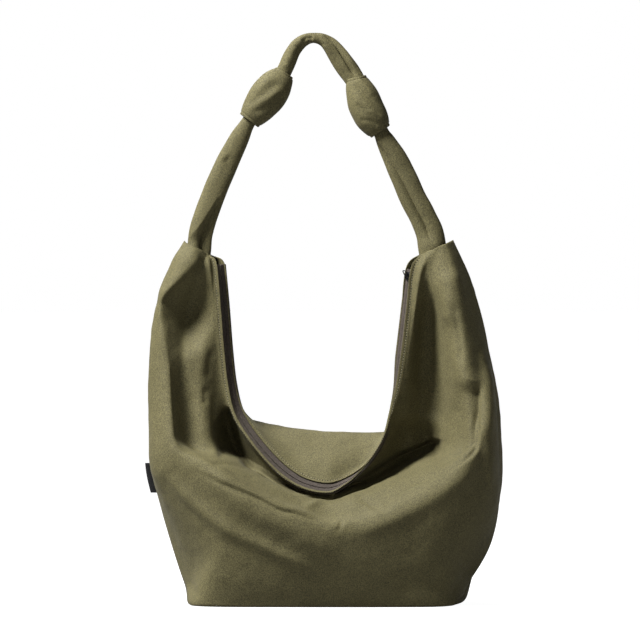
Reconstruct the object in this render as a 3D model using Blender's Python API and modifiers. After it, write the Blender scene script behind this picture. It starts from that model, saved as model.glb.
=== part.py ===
"""Slouchy hobo bag with a knotted shoulder strap and a curved zip, modelled in metres with +Z up.

The outer bag is two U-shaped bands of cloth, front and back. Each runs from the left horn's tip down the
left side, across the belly and up to the right horn's tip. They meet at the side seams, share a base panel
with turned-up ends, and are closed along the neckline by a reversed-coil zip.
Every cloth sheet is a loft through feature lines. A feature line gives one point for each of 21 stations:
station 0 is the left horn's tip, 10 the middle of the belly and 20 the right horn's tip.
"""

import math

import bmesh
import bpy
import numpy as np
from mathutils import Matrix

MM = 0.001
STATIONS = 21
LAST = STATIONS - 1
STEPS_PER_STATION = 2

# Cloth
SHELL = 1.2 * MM
LINING = 0.6 * MM
LINING_INSET = 6.8 * MM
POCKET_INSET = 12.0 * MM

# Base
BOARD_SIZE = (268 * MM, 118 * MM, 2 * MM)
BOARD_CENTRE_X = 2 * MM
BOARD_Z = 3.4 * MM
BASE_LEFT, BASE_RIGHT = 7, 13
BOXED_CORNER = 10.5 * MM
# The base panel stops this part of a station short of its end seams, and this far inside the long ones
BASE_END = 0.3
BASE_CLEAR, BASE_CLEAR_MORE = 5.0 * MM, 6.0 * MM

# Zip: half widths across the chain, and heights over the middle of the tape
ZIP_START, ZIP_END = 1, 19
TAPE = 0.7 * MM
TAPE_INNER = 0.6 * MM
TAPE_OUTER = 9.4 * MM
NECK_REACH = 6.6 * MM
HEM_REACH = 11.4 * MM
NECK_HEIGHT = 1.9 * MM
COIL_RADIUS = 1.15 * MM
COIL_OFFSET = 1.95 * MM
COIL_DEPTH = -1.85 * MM
SLIDER_AT = 12 * MM

SLIDER_LENGTH = 11 * MM
SLIDER_HALF_WIDTH = 4.4 * MM
PLATE_TOP = (0.75 * MM, 2.2 * MM)
PLATE_UNDER = (-4.7 * MM, -3.35 * MM)
WEDGE = (0.5 * MM, 5.0 * MM)
BAIL_SPAN, BAIL_WIDTH, BAIL_TOP, BAIL_POST = 6.0 * MM, 2.0 * MM, 5.2 * MM, 1.2 * MM
BAIL_UNDERSIDE = 4.0 * MM
WIRE = 0.6 * MM
PULL_AXIS_HEIGHT = 3.1 * MM
PULL_HALF_WIDTH, PULL_REACH = 3.7 * MM, 7.4 * MM
PULL_LIFT = math.radians(35)
PULL_CORNER = 1.6 * MM
STOP_SIZE = (6 * MM, 3 * MM, 1.4 * MM)
# How far blocks that are joined reach into each other
BITE = 0.2 * MM

# Strap: centre lines (x, z), half widths across the strap and half depths front to back, in mm
STRAP_AXIS_Z = 447 * MM
STRAP_SIDES = 14
KNOT_BORE = (14.5 * MM, 10.2 * MM)
FOOT_OUTER, FOOT_INNER = 9 * MM, 21 * MM
LEG_LEFT = [
    (-148, 447, 15, 8), (-142, 465, 14.5, 8), (-134, 487, 14.5, 8), (-119, 523, 14, 8), (-101, 559, 13, 8),
    (-88, 582, 12, 8), (-76, 599, 11, 8),
]
LEG_RIGHT = [
    (127, 447, 16.5, 8), (118, 465, 16, 8), (106, 487, 15.5, 8), (90.5, 523, 15, 8), (74, 554, 13.5, 8),
    (66.5, 570, 11.5, 8), (57, 592, 10.5, 8),
]
CROWN = [
    (-66, 612, 9, 8), (-57, 625, 9.5, 8), (-48, 638, 9.5, 8.5), (-42, 652, 9, 9), (-36, 664, 8.2, 9),
    (-27, 674, 7.6, 9), (-15, 678, 7.6, 9), (-3, 676.5, 8.2, 9), (8, 669, 9.8, 9), (17, 657, 11.5, 9),
    (26, 644, 12.8, 8.5), (36, 630, 12, 8), (46, 612, 11, 8), (51, 604, 10.5, 8),
]
COLLAR_LEFT = [
    (-90, 579, 17, 15), (-84, 587, 22, 19), (-72, 602, 24, 22), (-61, 618, 23, 21), (-51, 634, 18, 17),
]
COLLAR_RIGHT = [
    (69, 563, 16, 15), (65, 573, 20, 19), (56, 594, 23, 22), (46, 612, 22, 21), (37, 629, 17.5, 17),
]

# Side label, folded over the left side seam
LABEL_STATIONS = (5.1, 5.68)
LABEL_SHOWS, LABEL_TUCKED, LABEL_HALF, LABEL_SLIT = 7.0 * MM, 6.0 * MM, 1.15 * MM, 0.25 * MM
SEAM_GAP = 3.5 * MM

SEAM = [
    (-168, -1, 435), (-185, 3, 405), (-202, 7, 356), (-207, 8, 294), (-208, 8, 234), (-208, 6, 174),
    (-195, 2, 110), (-168, -4, 24), (-155, -66, 1), (-78, -79, 0), (10, -80, 0), (96, -79, 0),
    (152, -66, 1), (178, -4, 31), (202, -2, 76), (211, 0, 136), (208, 0, 208), (202, -2, 274),
    (192, -2, 334), (175, -1, 391), (155, -1, 436),
]
FRONT_ROLL = [
    (-166, -9, 433), (-182, -18, 403), (-203, -13, 356), (-210, -22, 292), (-211, -30, 232), (-210, -42, 168),
    (-184, -60, 128), (-140, -83, 82), (-116, -90, 64), (-66, -94, 52), (6, -97, 47), (76, -96, 50),
    (128, -90, 62), (160, -79, 80), (190, -62, 112), (206, -46, 158), (204, -40, 220), (193, -31, 276),
    (183, -22, 333), (168, -16, 388), (151, -9, 434),
]
FRONT_CREST = [
    (-158, -15, 429), (-162, -31, 403), (-196, -35, 357), (-186, -46, 295), (-183, -60, 236),
    (-178, -76, 190), (-140, -90, 166), (-103, -99, 138), (-70, -103, 121), (-36, -105, 107), (4, -106, 94),
    (53, -105, 100), (97, -101, 116), (134, -94, 134), (161, -85, 156), (177, -75, 182), (179, -65, 220),
    (173, -53, 275), (165, -41, 334), (156, -30, 388), (147, -15, 432),
]
FRONT_SLOPE = [
    (-152, -17, 426), (-153, -30, 402), (-178, -24, 352), (-173, -38, 297), (-170, -49, 239),
    (-165, -66, 198), (-131, -80, 172), (-95, -88, 148), (-62, -90, 132), (-30, -90, 117), (4, -90, 107),
    (46, -89, 114), (86, -84, 131), (119, -73, 151), (145, -60, 169), (162, -52, 190), (163, -50, 226),
    (156, -43, 278), (151, -35, 335), (142, -28, 387), (142, -17, 430),
]
FRONT_VALLEY = [
    (-147, -17, 424), (-147, -24, 401), (-162, -8, 350), (-162, -15, 298), (-158, -19, 242), (-152, -38, 196),
    (-122, -64, 177), (-87, -73, 158), (-57, -75, 143), (-26, -75, 129), (4, -75, 119), (39, -72, 128),
    (75, -62, 145), (102, -48, 157), (124, -30, 173), (139, -10, 196), (138, 2, 232), (135, 4, 280),
    (131, -6, 337), (126, -18, 387), (137, -17, 428),
]
FRONT_RIDGE = [
    (-143, -16, 421), (-141, -21, 403), (-143, -12, 351), (-142, -14, 299), (-137, -17, 248),
    (-134, -33, 204), (-115, -36, 181), (-82, -54, 160), (-54, -60, 144), (-24, -63, 132), (4, -63, 125),
    (37, -57, 135), (70, -42, 149), (94, -26, 161), (112, -10, 176), (120, -2, 202), (120, -1, 238),
    (118, -3, 284), (117, -11, 338), (119, -18, 388), (132, -16, 425),
]
FRONT_UNDER = [
    (-140, -13, 419), (-136, -19, 405), (-134, -15, 352), (-131, -17, 300), (-124, -17, 246), (-114, 1, 204),
    (-100, -4, 176), (-74, -22, 149), (-48, -37, 132), (-22, -46, 122), (4, -48, 119), (36, -41, 127),
    (60, -27, 141), (78, -13, 156), (92, -3, 178), (100, -3, 206), (104, -9, 242), (105, -13, 284),
    (108, -17, 338), (114, -22, 392), (126, -13, 423),
]
BACK_ROLL = [
    (-166, 9, 433), (-184, 18, 404), (-200, 26, 355), (-205, 32, 294), (-208, 38, 234), (-206, 46, 176),
    (-190, 58, 122), (-152, 84, 82), (-122, 94, 64), (-68, 100, 54), (8, 102, 50), (82, 100, 54),
    (134, 94, 64), (168, 80, 82), (202, 48, 110), (217, 34, 160), (214, 26, 216), (206, 20, 276),
    (190, 16, 334), (174, 12, 391), (151, 9, 434),
]
BACK_BULGE = [
    (-158, 15, 429), (-168, 26, 403), (-184, 38, 354), (-188, 48, 296), (-188, 60, 238), (-184, 74, 190),
    (-160, 86, 150), (-124, 96, 128), (-92, 99, 118), (-48, 100, 114), (8, 100, 112), (64, 99, 112),
    (104, 97, 114), (140, 92, 124), (174, 82, 148), (192, 66, 186), (192, 52, 230), (182, 40, 282),
    (170, 32, 336), (158, 24, 390), (147, 15, 432),
]
BACK_UPPER = [
    (-152, 17, 426), (-154, 28, 402), (-164, 40, 353), (-166, 50, 297), (-164, 62, 243), (-156, 74, 212),
    (-134, 80, 190), (-104, 80, 180), (-76, 76, 174), (-40, 73, 171), (8, 72, 169), (52, 73, 169),
    (86, 74, 171), (116, 76, 177), (144, 72, 190), (158, 64, 214), (160, 52, 244), (154, 42, 286),
    (148, 33, 338), (144, 25, 390), (142, 17, 430),
]
BACK_RIDGE = [
    (-147, 17, 424), (-141, 24, 403), (-144, 32, 352), (-142, 38, 299), (-138, 46, 252), (-126, 46, 232),
    (-104, 40, 224), (-80, 32, 219), (-54, 26, 215), (-24, 22, 210), (8, 20, 208), (34, 22, 207),
    (58, 26, 206), (84, 32, 207), (108, 38, 218), (122, 42, 236), (126, 38, 258), (124, 32, 290),
    (124, 26, 339), (129, 20, 390), (137, 17, 428),
]
BACK_SLOPE = [
    (-142, 14, 421), (-129, 14, 404), (-124, 16, 352), (-118, 16, 300), (-113, 20, 258), (-101, 14, 234),
    (-80, 4, 215), (-56, -8, 196), (-38, -16, 184), (-18, -22, 178), (6, -24, 176), (28, -20, 180),
    (48, -12, 187), (66, -2, 196), (82, 8, 210), (92, 14, 230), (97, 14, 255), (101, 13, 289),
    (106, 11, 339), (116, 10, 394), (129, 13, 424),
]
# The middle of the zip at stations 1 to 19. The last four points lie on one straight line: the slider's run.
ZIP_RUN_LOW, ZIP_RUN_TOP = (86, -11, 262), (103, -7, 404)
ZIP_RUN_SHARES = (0.0, 0.27, 0.62, 1.0)
ZIP_LINE = [
    (-125, -7, 407), (-120, -9, 354), (-116, -10, 303), (-111, -12, 261), (-102, -18, 227), (-82, -28, 196),
    (-57, -38, 168), (-35, -45, 151), (-16, -49, 143), (4, -51, 141), (25, -47, 150), (45, -41, 166),
    (60, -33, 184), (71, -25, 204), (79, -18, 230),
]
ZIP_FACING = [
    (0.6, -0.8, 0.0), (0.6, -0.8, 0.0), (0.6, -0.8, 0.0), (0.62, -0.77, 0.1), (0.58, -0.74, 0.3),
    (0.45, -0.75, 0.48), (0.3, -0.76, 0.58), (0.15, -0.76, 0.63), (0.05, -0.76, 0.65), (0.0, -0.76, 0.65),
    (-0.15, -0.76, 0.62), (-0.3, -0.75, 0.58), (-0.47, -0.72, 0.5), (-0.63, -0.68, 0.35), (-0.78, -0.6, 0.17),
    (-0.87, -0.48, 0.1), (-0.87, -0.48, 0.1), (-0.87, -0.48, 0.1), (-0.87, -0.48, 0.1),
]
NECK_TIPS = {"front": ((-136, -7, 417), (120, -7, 421)), "back": ((-136, 7, 417), (120, 7, 421))}

PALETTE = {
    "outer_cloth": ((0.19, 0.172, 0.098), 0.8, 0.0),
    "lining_cloth": ((0.10, 0.092, 0.062), 0.85, 0.0),
    "board": ((0.05, 0.05, 0.05), 0.6, 0.0),
    "zip_tape": ((0.135, 0.108, 0.092), 0.8, 0.0),
    "zip_coil": ((0.09, 0.07, 0.06), 0.5, 0.0),
    "zip_metal": ((0.02, 0.02, 0.022), 0.35, 1.0),
    "label": ((0.012, 0.012, 0.014), 0.8, 0.0),
}
COLLECTION = "hobo_bag"


# ---------------------------------------------------------------- helpers

def clear_scene():
    for obj in list(bpy.data.objects):
        bpy.data.objects.remove(obj)


def material(slot):
    if slot in bpy.data.materials:
        return bpy.data.materials[slot]
    colour, roughness, metallic = PALETTE[slot]
    made = bpy.data.materials.new(slot)
    made.use_nodes = True
    shader = made.node_tree.nodes["Principled BSDF"]
    shader.inputs["Base Color"].default_value = (*colour, 1.0)
    shader.inputs["Roughness"].default_value = roughness
    shader.inputs["Metallic"].default_value = metallic
    return made


def add_mesh(name, slot, points, faces, smooth=True):
    """A new object of the bag's collection from points and faces."""
    mesh = bpy.data.meshes.new(name)
    mesh.from_pydata([tuple(p) for p in points], [], faces)
    mesh.validate()
    if smooth:
        mesh.shade_smooth()
    obj = bpy.data.objects.new(name, mesh)
    obj.data.materials.append(material(slot))
    bpy.data.collections[COLLECTION].objects.link(obj)
    return obj


def solidify(obj, thickness):
    """Gives a sheet its thickness on the inner side of its faces."""
    modifier = obj.modifiers.new("cloth", "SOLIDIFY")
    modifier.thickness = thickness
    modifier.offset = -1.0


def spline(knots, values, at):
    """A smooth curve through values (n by 3) given at the knots, read at the places in at."""
    knots, values, at = np.asarray(knots, float), np.asarray(values, float), np.asarray(at, float)
    steps = np.diff(knots)
    slopes = np.diff(values, axis=0) / steps[:, None]
    before, after = slopes[:-1], slopes[1:]
    limit = 3.0 * np.minimum(np.abs(before), np.abs(after))
    blend = np.clip((before + after) / 2, -limit, limit)
    tangents = np.vstack([slopes[:1], np.where(before * after <= 0.0, 0.0, blend), slopes[-1:]])
    i = np.clip(np.searchsorted(knots, at, side="right") - 1, 0, len(knots) - 2)
    h = steps[i][:, None]
    t = ((at - knots[i]) / steps[i])[:, None]
    return (
        (2 * t**3 - 3 * t**2 + 1) * values[i]
        + (t**3 - 2 * t**2 + t) * h * tangents[i]
        + (-2 * t**3 + 3 * t**2) * values[i + 1]
        + (t**3 - t**2) * h * tangents[i + 1]
    )


def unit(vectors):
    return vectors / np.linalg.norm(vectors, axis=-1, keepdims=True)


def grid_faces(rows, columns, flip=False):
    """Quads over a grid whose points are numbered row by row."""
    faces = []
    for r in range(rows - 1):
        for c in range(columns - 1):
            a = r * columns + c
            quad = (a, a + 1, a + columns + 1, a + columns)
            faces.append(quad[::-1] if flip else quad)
    return faces


def directions(points, axis):
    """Mean direction of the steps before and after each point along one axis of a grid."""
    steps = unit(np.diff(points, axis=axis))
    first, last = np.take(steps, [0], axis=axis), np.take(steps, [-1], axis=axis)
    return np.concatenate([first, steps], axis=axis) + np.concatenate([steps, last], axis=axis)


def grid_normals(points, flip):
    """Unit normals of a grid of points (rows, columns, 3)."""
    normals = unit(np.cross(directions(points, 1), directions(points, 0)))
    return -normals if flip else normals


def station_values(first, last):
    return np.linspace(first, last, int(round((last - first) * STEPS_PER_STATION)) + 1)


# ---------------------------------------------------------------- zip line

def zip_knots():
    low, top = np.array(ZIP_RUN_LOW, float), np.array(ZIP_RUN_TOP, float)
    run = [low + share * (top - low) for share in ZIP_RUN_SHARES]
    return np.vstack([ZIP_LINE, run]) * MM


def zip_frames(stations):
    """Middle, direction, outward normal and front-to-back side of the zip at the stations."""
    knots = np.arange(ZIP_START, ZIP_END + 1)
    line = zip_knots()
    middle = spline(knots, line, stations)
    nudge = 0.02
    ahead = spline(knots, line, np.minimum(stations + nudge, ZIP_END))
    behind = spline(knots, line, np.maximum(stations - nudge, ZIP_START))
    direction = unit(ahead - behind)
    facing = spline(knots, ZIP_FACING, stations)
    normal = unit(facing - (facing * direction).sum(1)[:, None] * direction)
    side = np.cross(normal, direction)
    return middle, direction, normal, side


def neck_row(which, reach, height):
    """Feature line that runs beside the zip at the given distance, and on to the horns' tips."""
    knots = np.arange(ZIP_START, ZIP_END + 1)
    middle, _, normal, side = zip_frames(knots.astype(float))
    sign = -1 if which == "front" else 1
    beside = middle + sign * reach * side + height * normal
    left, right = (np.array(tip, float) * MM for tip in NECK_TIPS[which])
    return np.vstack([left, beside, right])


# ---------------------------------------------------------------- cloth sheets

def back_seam():
    """The back panel's outer edge: the front's, moved back by the seam and mirrored along the base."""
    edge = np.array(SEAM, float)
    base = np.zeros(STATIONS, bool)
    base[BASE_LEFT + 1 : BASE_RIGHT] = True
    edge[~base, 1] += SEAM_GAP / MM
    edge[base, 1] *= -1
    edge[[BASE_LEFT, BASE_RIGHT], 1] = 4.0
    return edge * MM


def front_lines():
    rows = [SEAM, FRONT_ROLL, FRONT_CREST, FRONT_SLOPE, FRONT_VALLEY, FRONT_RIDGE, FRONT_UNDER]
    lines = [np.array(row, float) * MM for row in rows]
    hem = neck_row("front", HEM_REACH, NECK_HEIGHT)
    neck = neck_row("front", NECK_REACH, NECK_HEIGHT)
    hem[[0, -1]] = (neck[[0, -1]] + lines[-1][[0, -1]]) / 2
    return lines + [hem, neck]


def back_lines():
    rows = [BACK_ROLL, BACK_BULGE, BACK_UPPER, BACK_RIDGE, BACK_SLOPE]
    lines = [back_seam()] + [np.array(row, float) * MM for row in rows]
    hem = neck_row("back", HEM_REACH, NECK_HEIGHT)
    neck = neck_row("back", NECK_REACH, NECK_HEIGHT)
    hem[[0, -1]] = (neck[[0, -1]] + lines[-1][[0, -1]]) / 2
    return lines + [hem, neck]


def sheet_grid(lines, stations, across):
    """Points of the sheet lofted through feature lines: (stations, across, 3)."""
    knots = np.arange(STATIONS)
    along = np.stack([spline(knots, line, stations) for line in lines], axis=1)
    rows = np.arange(len(lines))
    return np.stack([spline(rows, points, across) for points in along])


def cloth_sheet(name, slot, points, flip, inset, thickness):
    """A sheet of cloth lying inset inside a grid of points."""
    points = points - inset * grid_normals(points, flip)
    rows, columns = points.shape[:2]
    obj = add_mesh(name, slot, points.reshape(-1, 3), grid_faces(rows, columns, flip))
    solidify(obj, thickness)
    return obj


def panels():
    front, back = front_lines(), back_lines()
    whole = station_values(0, LAST)
    front_across = np.array([0, 0.5, 1, 1.5, 2, 3, 4, 5, 6, 7, 8])
    back_across = np.array([0, 0.5, 1, 1.5, 2, 3, 4, 4.5, 5, 6, 7])
    cloth_sheet("front_panel", "outer_cloth", sheet_grid(front, whole, front_across), True, 0.0, SHELL)
    cloth_sheet("back_panel", "outer_cloth", sheet_grid(back, whole, back_across), False, 0.0, SHELL)


def linings():
    """The linings hang a little inside the panels; the front one crosses straight behind the folds."""
    front, back = front_lines(), back_lines()
    stations = np.linspace(5.0, 15.0, 21)
    side = sheet_grid(front, stations, np.array([0.75, 1.0]))
    valley, under = (spline(np.arange(STATIONS), front[row], stations) for row in (4, 6))
    stretches = [side]
    for start, end, shares in ((side[:, -1], valley, (0.33, 0.66, 1.0)), (valley, under, (0.3,))):
        stretches.append(np.stack([start + share * (end - start) for share in shares], axis=1))
    back_across = np.array([0.55, 1, 1.5, 2, 3, 4, 5, 5.6])
    back_points = sheet_grid(back, stations, back_across)
    cloth_sheet("front_lining", "lining_cloth", np.concatenate(stretches, axis=1), True, LINING_INSET, LINING)
    cloth_sheet("back_lining", "lining_cloth", back_points, False, LINING_INSET, LINING)
    pocket_points = sheet_grid(back, np.linspace(8.7, 11.5, 8), np.linspace(0.9, 2.0, 5))
    cloth_sheet("inner_pocket", "lining_cloth", pocket_points, False, POCKET_INSET, LINING)


def base_bulge(stations, shares):
    """How far the base panel's boxed right corner stands out along X, front to back."""
    rise = BOXED_CORNER * np.clip(1 - np.abs(stations - BASE_RIGHT + 0.9) / 0.9, 0, 1)
    return rise[:, None] * np.sin(math.pi * shares)[None]


def base():
    """Base panel with turned-up ends, its board and its lining."""
    stations = np.linspace(BASE_LEFT + BASE_END, BASE_RIGHT - BASE_END, 23)
    middle, reach = (BASE_LEFT + BASE_RIGHT) / 2, 2.8
    clear = (BASE_CLEAR + BASE_CLEAR_MORE * ((stations - middle) / reach) ** 2)[:, None]
    knots = np.arange(STATIONS)
    front = spline(knots, front_lines()[0], stations)
    back = spline(knots, back_seam(), stations)
    toward = unit(back - front)
    front, back = front + clear * toward, back - clear * toward
    shares = np.linspace(0.0, 1.0, 5)
    points = front[:, None] + shares[None, :, None] * (back - front)[:, None]
    points[..., 0] += base_bulge(stations, shares)
    rows, columns = points.shape[:2]
    panel = add_mesh("base_panel", "outer_cloth", points.reshape(-1, 3), grid_faces(rows, columns, False))
    solidify(panel, SHELL)
    x, y, z = BOARD_SIZE
    add_box("base_board", "board", (BOARD_CENTRE_X, 0, BOARD_Z), (x, y, z))
    top = BOARD_Z + z / 2 + 0.5 * MM + LINING / 2
    add_box("base_lining", "lining_cloth", (BOARD_CENTRE_X, 0, top), (x - 6 * MM, y - 6 * MM, LINING))


def add_box(name, slot, centre, size, frame=None):
    """A box at centre; frame holds its three unit axes as columns when it isn't upright."""
    mesh = bpy.data.meshes.new(name)
    work = bmesh.new()
    bmesh.ops.create_cube(work, size=1.0)
    axes = np.eye(3) if frame is None else frame
    bmesh.ops.transform(work, matrix=placed(centre, axes) @ Matrix.Diagonal((*size, 1.0)), verts=work.verts)
    bmesh.ops.recalc_face_normals(work, faces=work.faces)
    work.to_mesh(mesh)
    work.free()
    obj = bpy.data.objects.new(name, mesh)
    obj.data.materials.append(material(slot))
    bpy.data.collections[COLLECTION].objects.link(obj)
    return obj


# ---------------------------------------------------------------- zip

def zip_parts():
    stations = np.linspace(ZIP_START + 0.12, ZIP_END - 0.06, 55)
    middle, _, normal, side = zip_frames(stations)
    for name, sign in (("front", -1), ("back", 1)):
        inner = middle + sign * TAPE_INNER * side
        outer = middle + sign * TAPE_OUTER * side
        points = np.stack([inner, outer], axis=1)
        faces = grid_faces(len(stations), 2, name == "front")
        tape = add_mesh(f"zip_tape_{name}", "zip_tape", points.reshape(-1, 3), faces)
        solidify(tape, TAPE)
        tape.modifiers["cloth"].offset = 0.0
        coil = middle + sign * COIL_OFFSET * side + COIL_DEPTH * normal
        add_wire(f"zip_coil_{name}", "zip_coil", coil[1:-1], COIL_RADIUS)
    for name, station in (("zip_stop_bottom", ZIP_START + 0.16), ("zip_stop_top", ZIP_END - 0.08)):
        spot, direction, out, across = (row[0] for row in zip_frames(np.array([station])))
        frame = np.stack([across, -direction, out], axis=1)
        add_box(name, "zip_metal", spot + COIL_DEPTH * out, STOP_SIZE, frame)


def add_wire(name, slot, points, radius, closed=False):
    """A round wire through points."""
    curve = bpy.data.curves.new(name, "CURVE")
    curve.dimensions = "3D"
    curve.bevel_depth = radius
    curve.bevel_resolution = 1
    curve.use_fill_caps = not closed
    path = curve.splines.new("POLY")
    path.points.add(len(points) - 1)
    for place, point in zip(path.points, points):
        place.co = (*point, 1.0)
    path.use_cyclic_u = closed
    obj = bpy.data.objects.new(name, curve)
    obj.data.materials.append(material(slot))
    bpy.data.collections[COLLECTION].objects.link(obj)
    return obj


def slider_frame():
    """Where the slider stands on the straight run, and its side, run and outward axes."""
    line = zip_knots()
    _, _, out, _ = (row[0] for row in zip_frames(np.array([float(ZIP_END)])))
    run = unit(line[-1] - line[-4])
    out = unit(out - out @ run * run)
    side = np.cross(run, out)
    return line[-1] - SLIDER_AT * run, np.stack([side, run, out], axis=1)


def slider():
    """Two plates joined by a wedge between the tapes, with a bail on top; in its own axes, then placed."""
    spot, frame = slider_frame()
    half = SLIDER_LENGTH / 2
    width = 2 * SLIDER_HALF_WIDTH
    top_middle, under_middle = sum(PLATE_TOP) / 2, sum(PLATE_UNDER) / 2
    between = PLATE_TOP[0] - PLATE_UNDER[1]
    blocks = [
        ((0, 0, top_middle), (width, SLIDER_LENGTH, PLATE_TOP[1] - PLATE_TOP[0])),
        ((0, 0, under_middle), (width, SLIDER_LENGTH, PLATE_UNDER[1] - PLATE_UNDER[0])),
        ((0, half - WEDGE[1] / 2, PLATE_TOP[0] - between / 2),
         (WEDGE[0], WEDGE[1] - BITE, between + 3 * BITE)),
        ((0, 0, (BAIL_TOP + BAIL_UNDERSIDE) / 2),
         (BAIL_WIDTH, BAIL_SPAN, BAIL_TOP - BAIL_UNDERSIDE)),
    ]
    post = BAIL_UNDERSIDE - PLATE_TOP[1] + 3 * BITE
    for sign in (-1, 1):
        y = sign * (BAIL_SPAN - BAIL_POST) / 2
        middle = (BAIL_UNDERSIDE + PLATE_TOP[1]) / 2
        blocks.append(((0, y, middle), (BAIL_WIDTH * 0.9, BAIL_POST * 0.8, post)))
    body = None
    for number, (centre, size) in enumerate(blocks):
        piece = add_box(f"slider_block_{number}", "zip_metal", centre, size)
        if body is None:
            body = piece
            body.name = "zip_slider"
            continue
        cutters = bpy.data.collections["construction"]
        bpy.data.collections[COLLECTION].objects.unlink(piece)
        cutters.objects.link(piece)
        piece.hide_render = True
        piece.display_type = "WIRE"
        join = body.modifiers.new(f"join_{number}", "BOOLEAN")
        join.operation = "UNION"
        join.solver = "EXACT"
        join.object = piece
        piece.parent = body
    body.matrix_world = placed(spot, frame)


def placed(spot, frame):
    matrix = Matrix.Identity(4)
    for row in range(3):
        for column in range(3):
            matrix[row][column] = frame[row, column]
        matrix[row][3] = spot[row]
    return matrix


def pull():
    """Wire loop through the bail, tipped up along the zip; its origin lies on its hinge axis."""
    spot, frame = slider_frame()
    corner = PULL_CORNER
    points = []
    for cx, cy, start in (
        (PULL_HALF_WIDTH - corner, corner, -90),
        (PULL_HALF_WIDTH - corner, PULL_REACH - corner, 0),
        (corner - PULL_HALF_WIDTH, PULL_REACH - corner, 90),
        (corner - PULL_HALF_WIDTH, corner, 180),
    ):
        for step in range(4):
            angle = math.radians(start + 30 * step)
            points.append((cx + corner * math.cos(angle), cy + corner * math.sin(angle), 0.0))
    loop = add_wire("zip_pull", "zip_metal", points, WIRE, closed=True)
    hinge = spot + PULL_AXIS_HEIGHT * frame[:, 2]
    loop.matrix_world = placed(hinge, frame) @ Matrix.Rotation(PULL_LIFT, 4, "X")


# ---------------------------------------------------------------- strap

def ring(centre, across, half_width, half_depth, fullness=2.6):
    """One rounded section of the strap: half_width along across, half_depth along Y."""
    points = []
    for step in range(STRAP_SIDES):
        angle = 2 * math.pi * step / STRAP_SIDES
        c, s = math.cos(angle), math.sin(angle)
        wide = math.copysign(abs(c) ** (2 / fullness), c) * half_width
        deep = math.copysign(abs(s) ** (2 / fullness), s) * half_depth
        points.append((centre[0] + across[0] * wide, deep, centre[1] + across[1] * wide))
    return points


def sections(path, steps):
    """Smoothed centre line, across directions and half sizes along a strap path, all in metres."""
    path = np.array(path, float) * MM
    knots = np.arange(len(path))
    values = spline(knots, path, np.linspace(0, len(path) - 1, steps))
    run = unit(np.gradient(values[:, :2], axis=0))
    across = np.stack([run[:, 1], -run[:, 0]], axis=1)
    return values, across


def loft(name, rings):
    """A tube through rings of points, capped at both ends."""
    sides = len(rings[0])
    points = [p for one in rings for p in one]
    faces = []
    for r in range(len(rings) - 1):
        for k in range(sides):
            a, b = r * sides + k, r * sides + (k + 1) % sides
            faces.append((a, b, b + sides, a + sides))
    last = (len(rings) - 1) * sides
    faces.append(tuple(range(sides))[::-1])
    faces.append(tuple(range(last, last + sides)))
    return add_mesh(name, "outer_cloth", points, faces)


def leg(name, path):
    """A strap leg. Its foot reaches into the horn's mouth, deeper on the side of the neckline, and stays
    within the mouth's clear radius about the strap's hinge axis."""
    values, across = sections(path, 15)
    level = np.array([1.0, 0.0])
    rings = []
    foot_x, foot_z, foot_wide, foot_deep = values[0]
    for share, thin in ((1.0, 0.35), (0.93, 0.75), (0.75, 0.95), (0.3, 1.0), (0.0, 1.0)):
        points = []
        for x, y, z in ring((foot_x, foot_z), level, foot_wide, foot_deep * thin):
            outward = (x - foot_x) / foot_wide * math.copysign(1.0, foot_x)
            reach = FOOT_INNER + (FOOT_OUTER - FOOT_INNER) * (outward + 1) / 2
            points.append((x, y, z - share * reach))
        rings.append(points)
    for number in range(1, len(values)):
        x, z, wide, deep = values[number]
        share = min(1.0, number / 3)
        direction = unit(level * (1 - share) + across[number] * share)
        rings.append(ring((x, z), direction, wide, deep))
    return loft(name, rings)


def crown():
    values, across = sections(CROWN, 29)
    rings = [ring((x, z), a, wide, deep) for (x, z, wide, deep), a in zip(values, across)]
    return loft("strap_crown", rings)


def collar(name, path):
    """A knot's wrap: a thick cloth ring round the strap, open along its middle."""
    values, across = sections(path, 9)
    outer = [ring((x, z), a, wide, deep, 2.2) for (x, z, wide, deep), a in zip(values, across)]
    inner = []
    for (x, z, _, _), a in zip(values, across):
        inner.append(ring((x, z), a, *KNOT_BORE))
    rings = outer + inner[::-1]
    sides = STRAP_SIDES
    points = [p for one in rings for p in one]
    faces = []
    for r in range(len(rings)):
        after = (r + 1) % len(rings)
        for k in range(sides):
            nextk = (k + 1) % sides
            faces.append((r * sides + k, r * sides + nextk, after * sides + nextk, after * sides + k))
    return add_mesh(name, "outer_cloth", points, faces)


def strap():
    pivot = bpy.data.objects.new("strap_axis", None)
    pivot.location = (0, 0, STRAP_AXIS_Z)
    bpy.data.collections["construction"].objects.link(pivot)
    pieces = [
        leg("strap_leg_left", LEG_LEFT),
        leg("strap_leg_right", LEG_RIGHT),
        crown(),
        collar("strap_knot_left", COLLAR_LEFT),
        collar("strap_knot_right", COLLAR_RIGHT),
    ]
    for piece in pieces:
        piece.parent = pivot
        piece.matrix_parent_inverse = Matrix.Translation((0, 0, -STRAP_AXIS_Z))


# ---------------------------------------------------------------- label

def label():
    """A short tape folded round the left side seam, its two ends tucked between the panels."""
    stations = np.linspace(*LABEL_STATIONS, 4)
    seam = spline(np.arange(STATIONS), front_lines()[0], stations)
    out, slit, half = -LABEL_SHOWS, LABEL_SLIT, LABEL_HALF
    profile = [
        (LABEL_TUCKED, half), (out + half, half), (out, 0.0), (out + half, -half), (LABEL_TUCKED, -half),
        (LABEL_TUCKED, -slit), (out + 2 * slit + half, -slit), (out + 2 * slit + half, slit),
        (LABEL_TUCKED, slit),
    ]
    rings = []
    for x, y, z in seam:
        rings.append([(x + dx, y + SEAM_GAP / 2 + dy, z) for dx, dy in profile])
    made = loft("side_label", rings)
    made.data.materials.clear()
    made.data.materials.append(material("label"))


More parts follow.
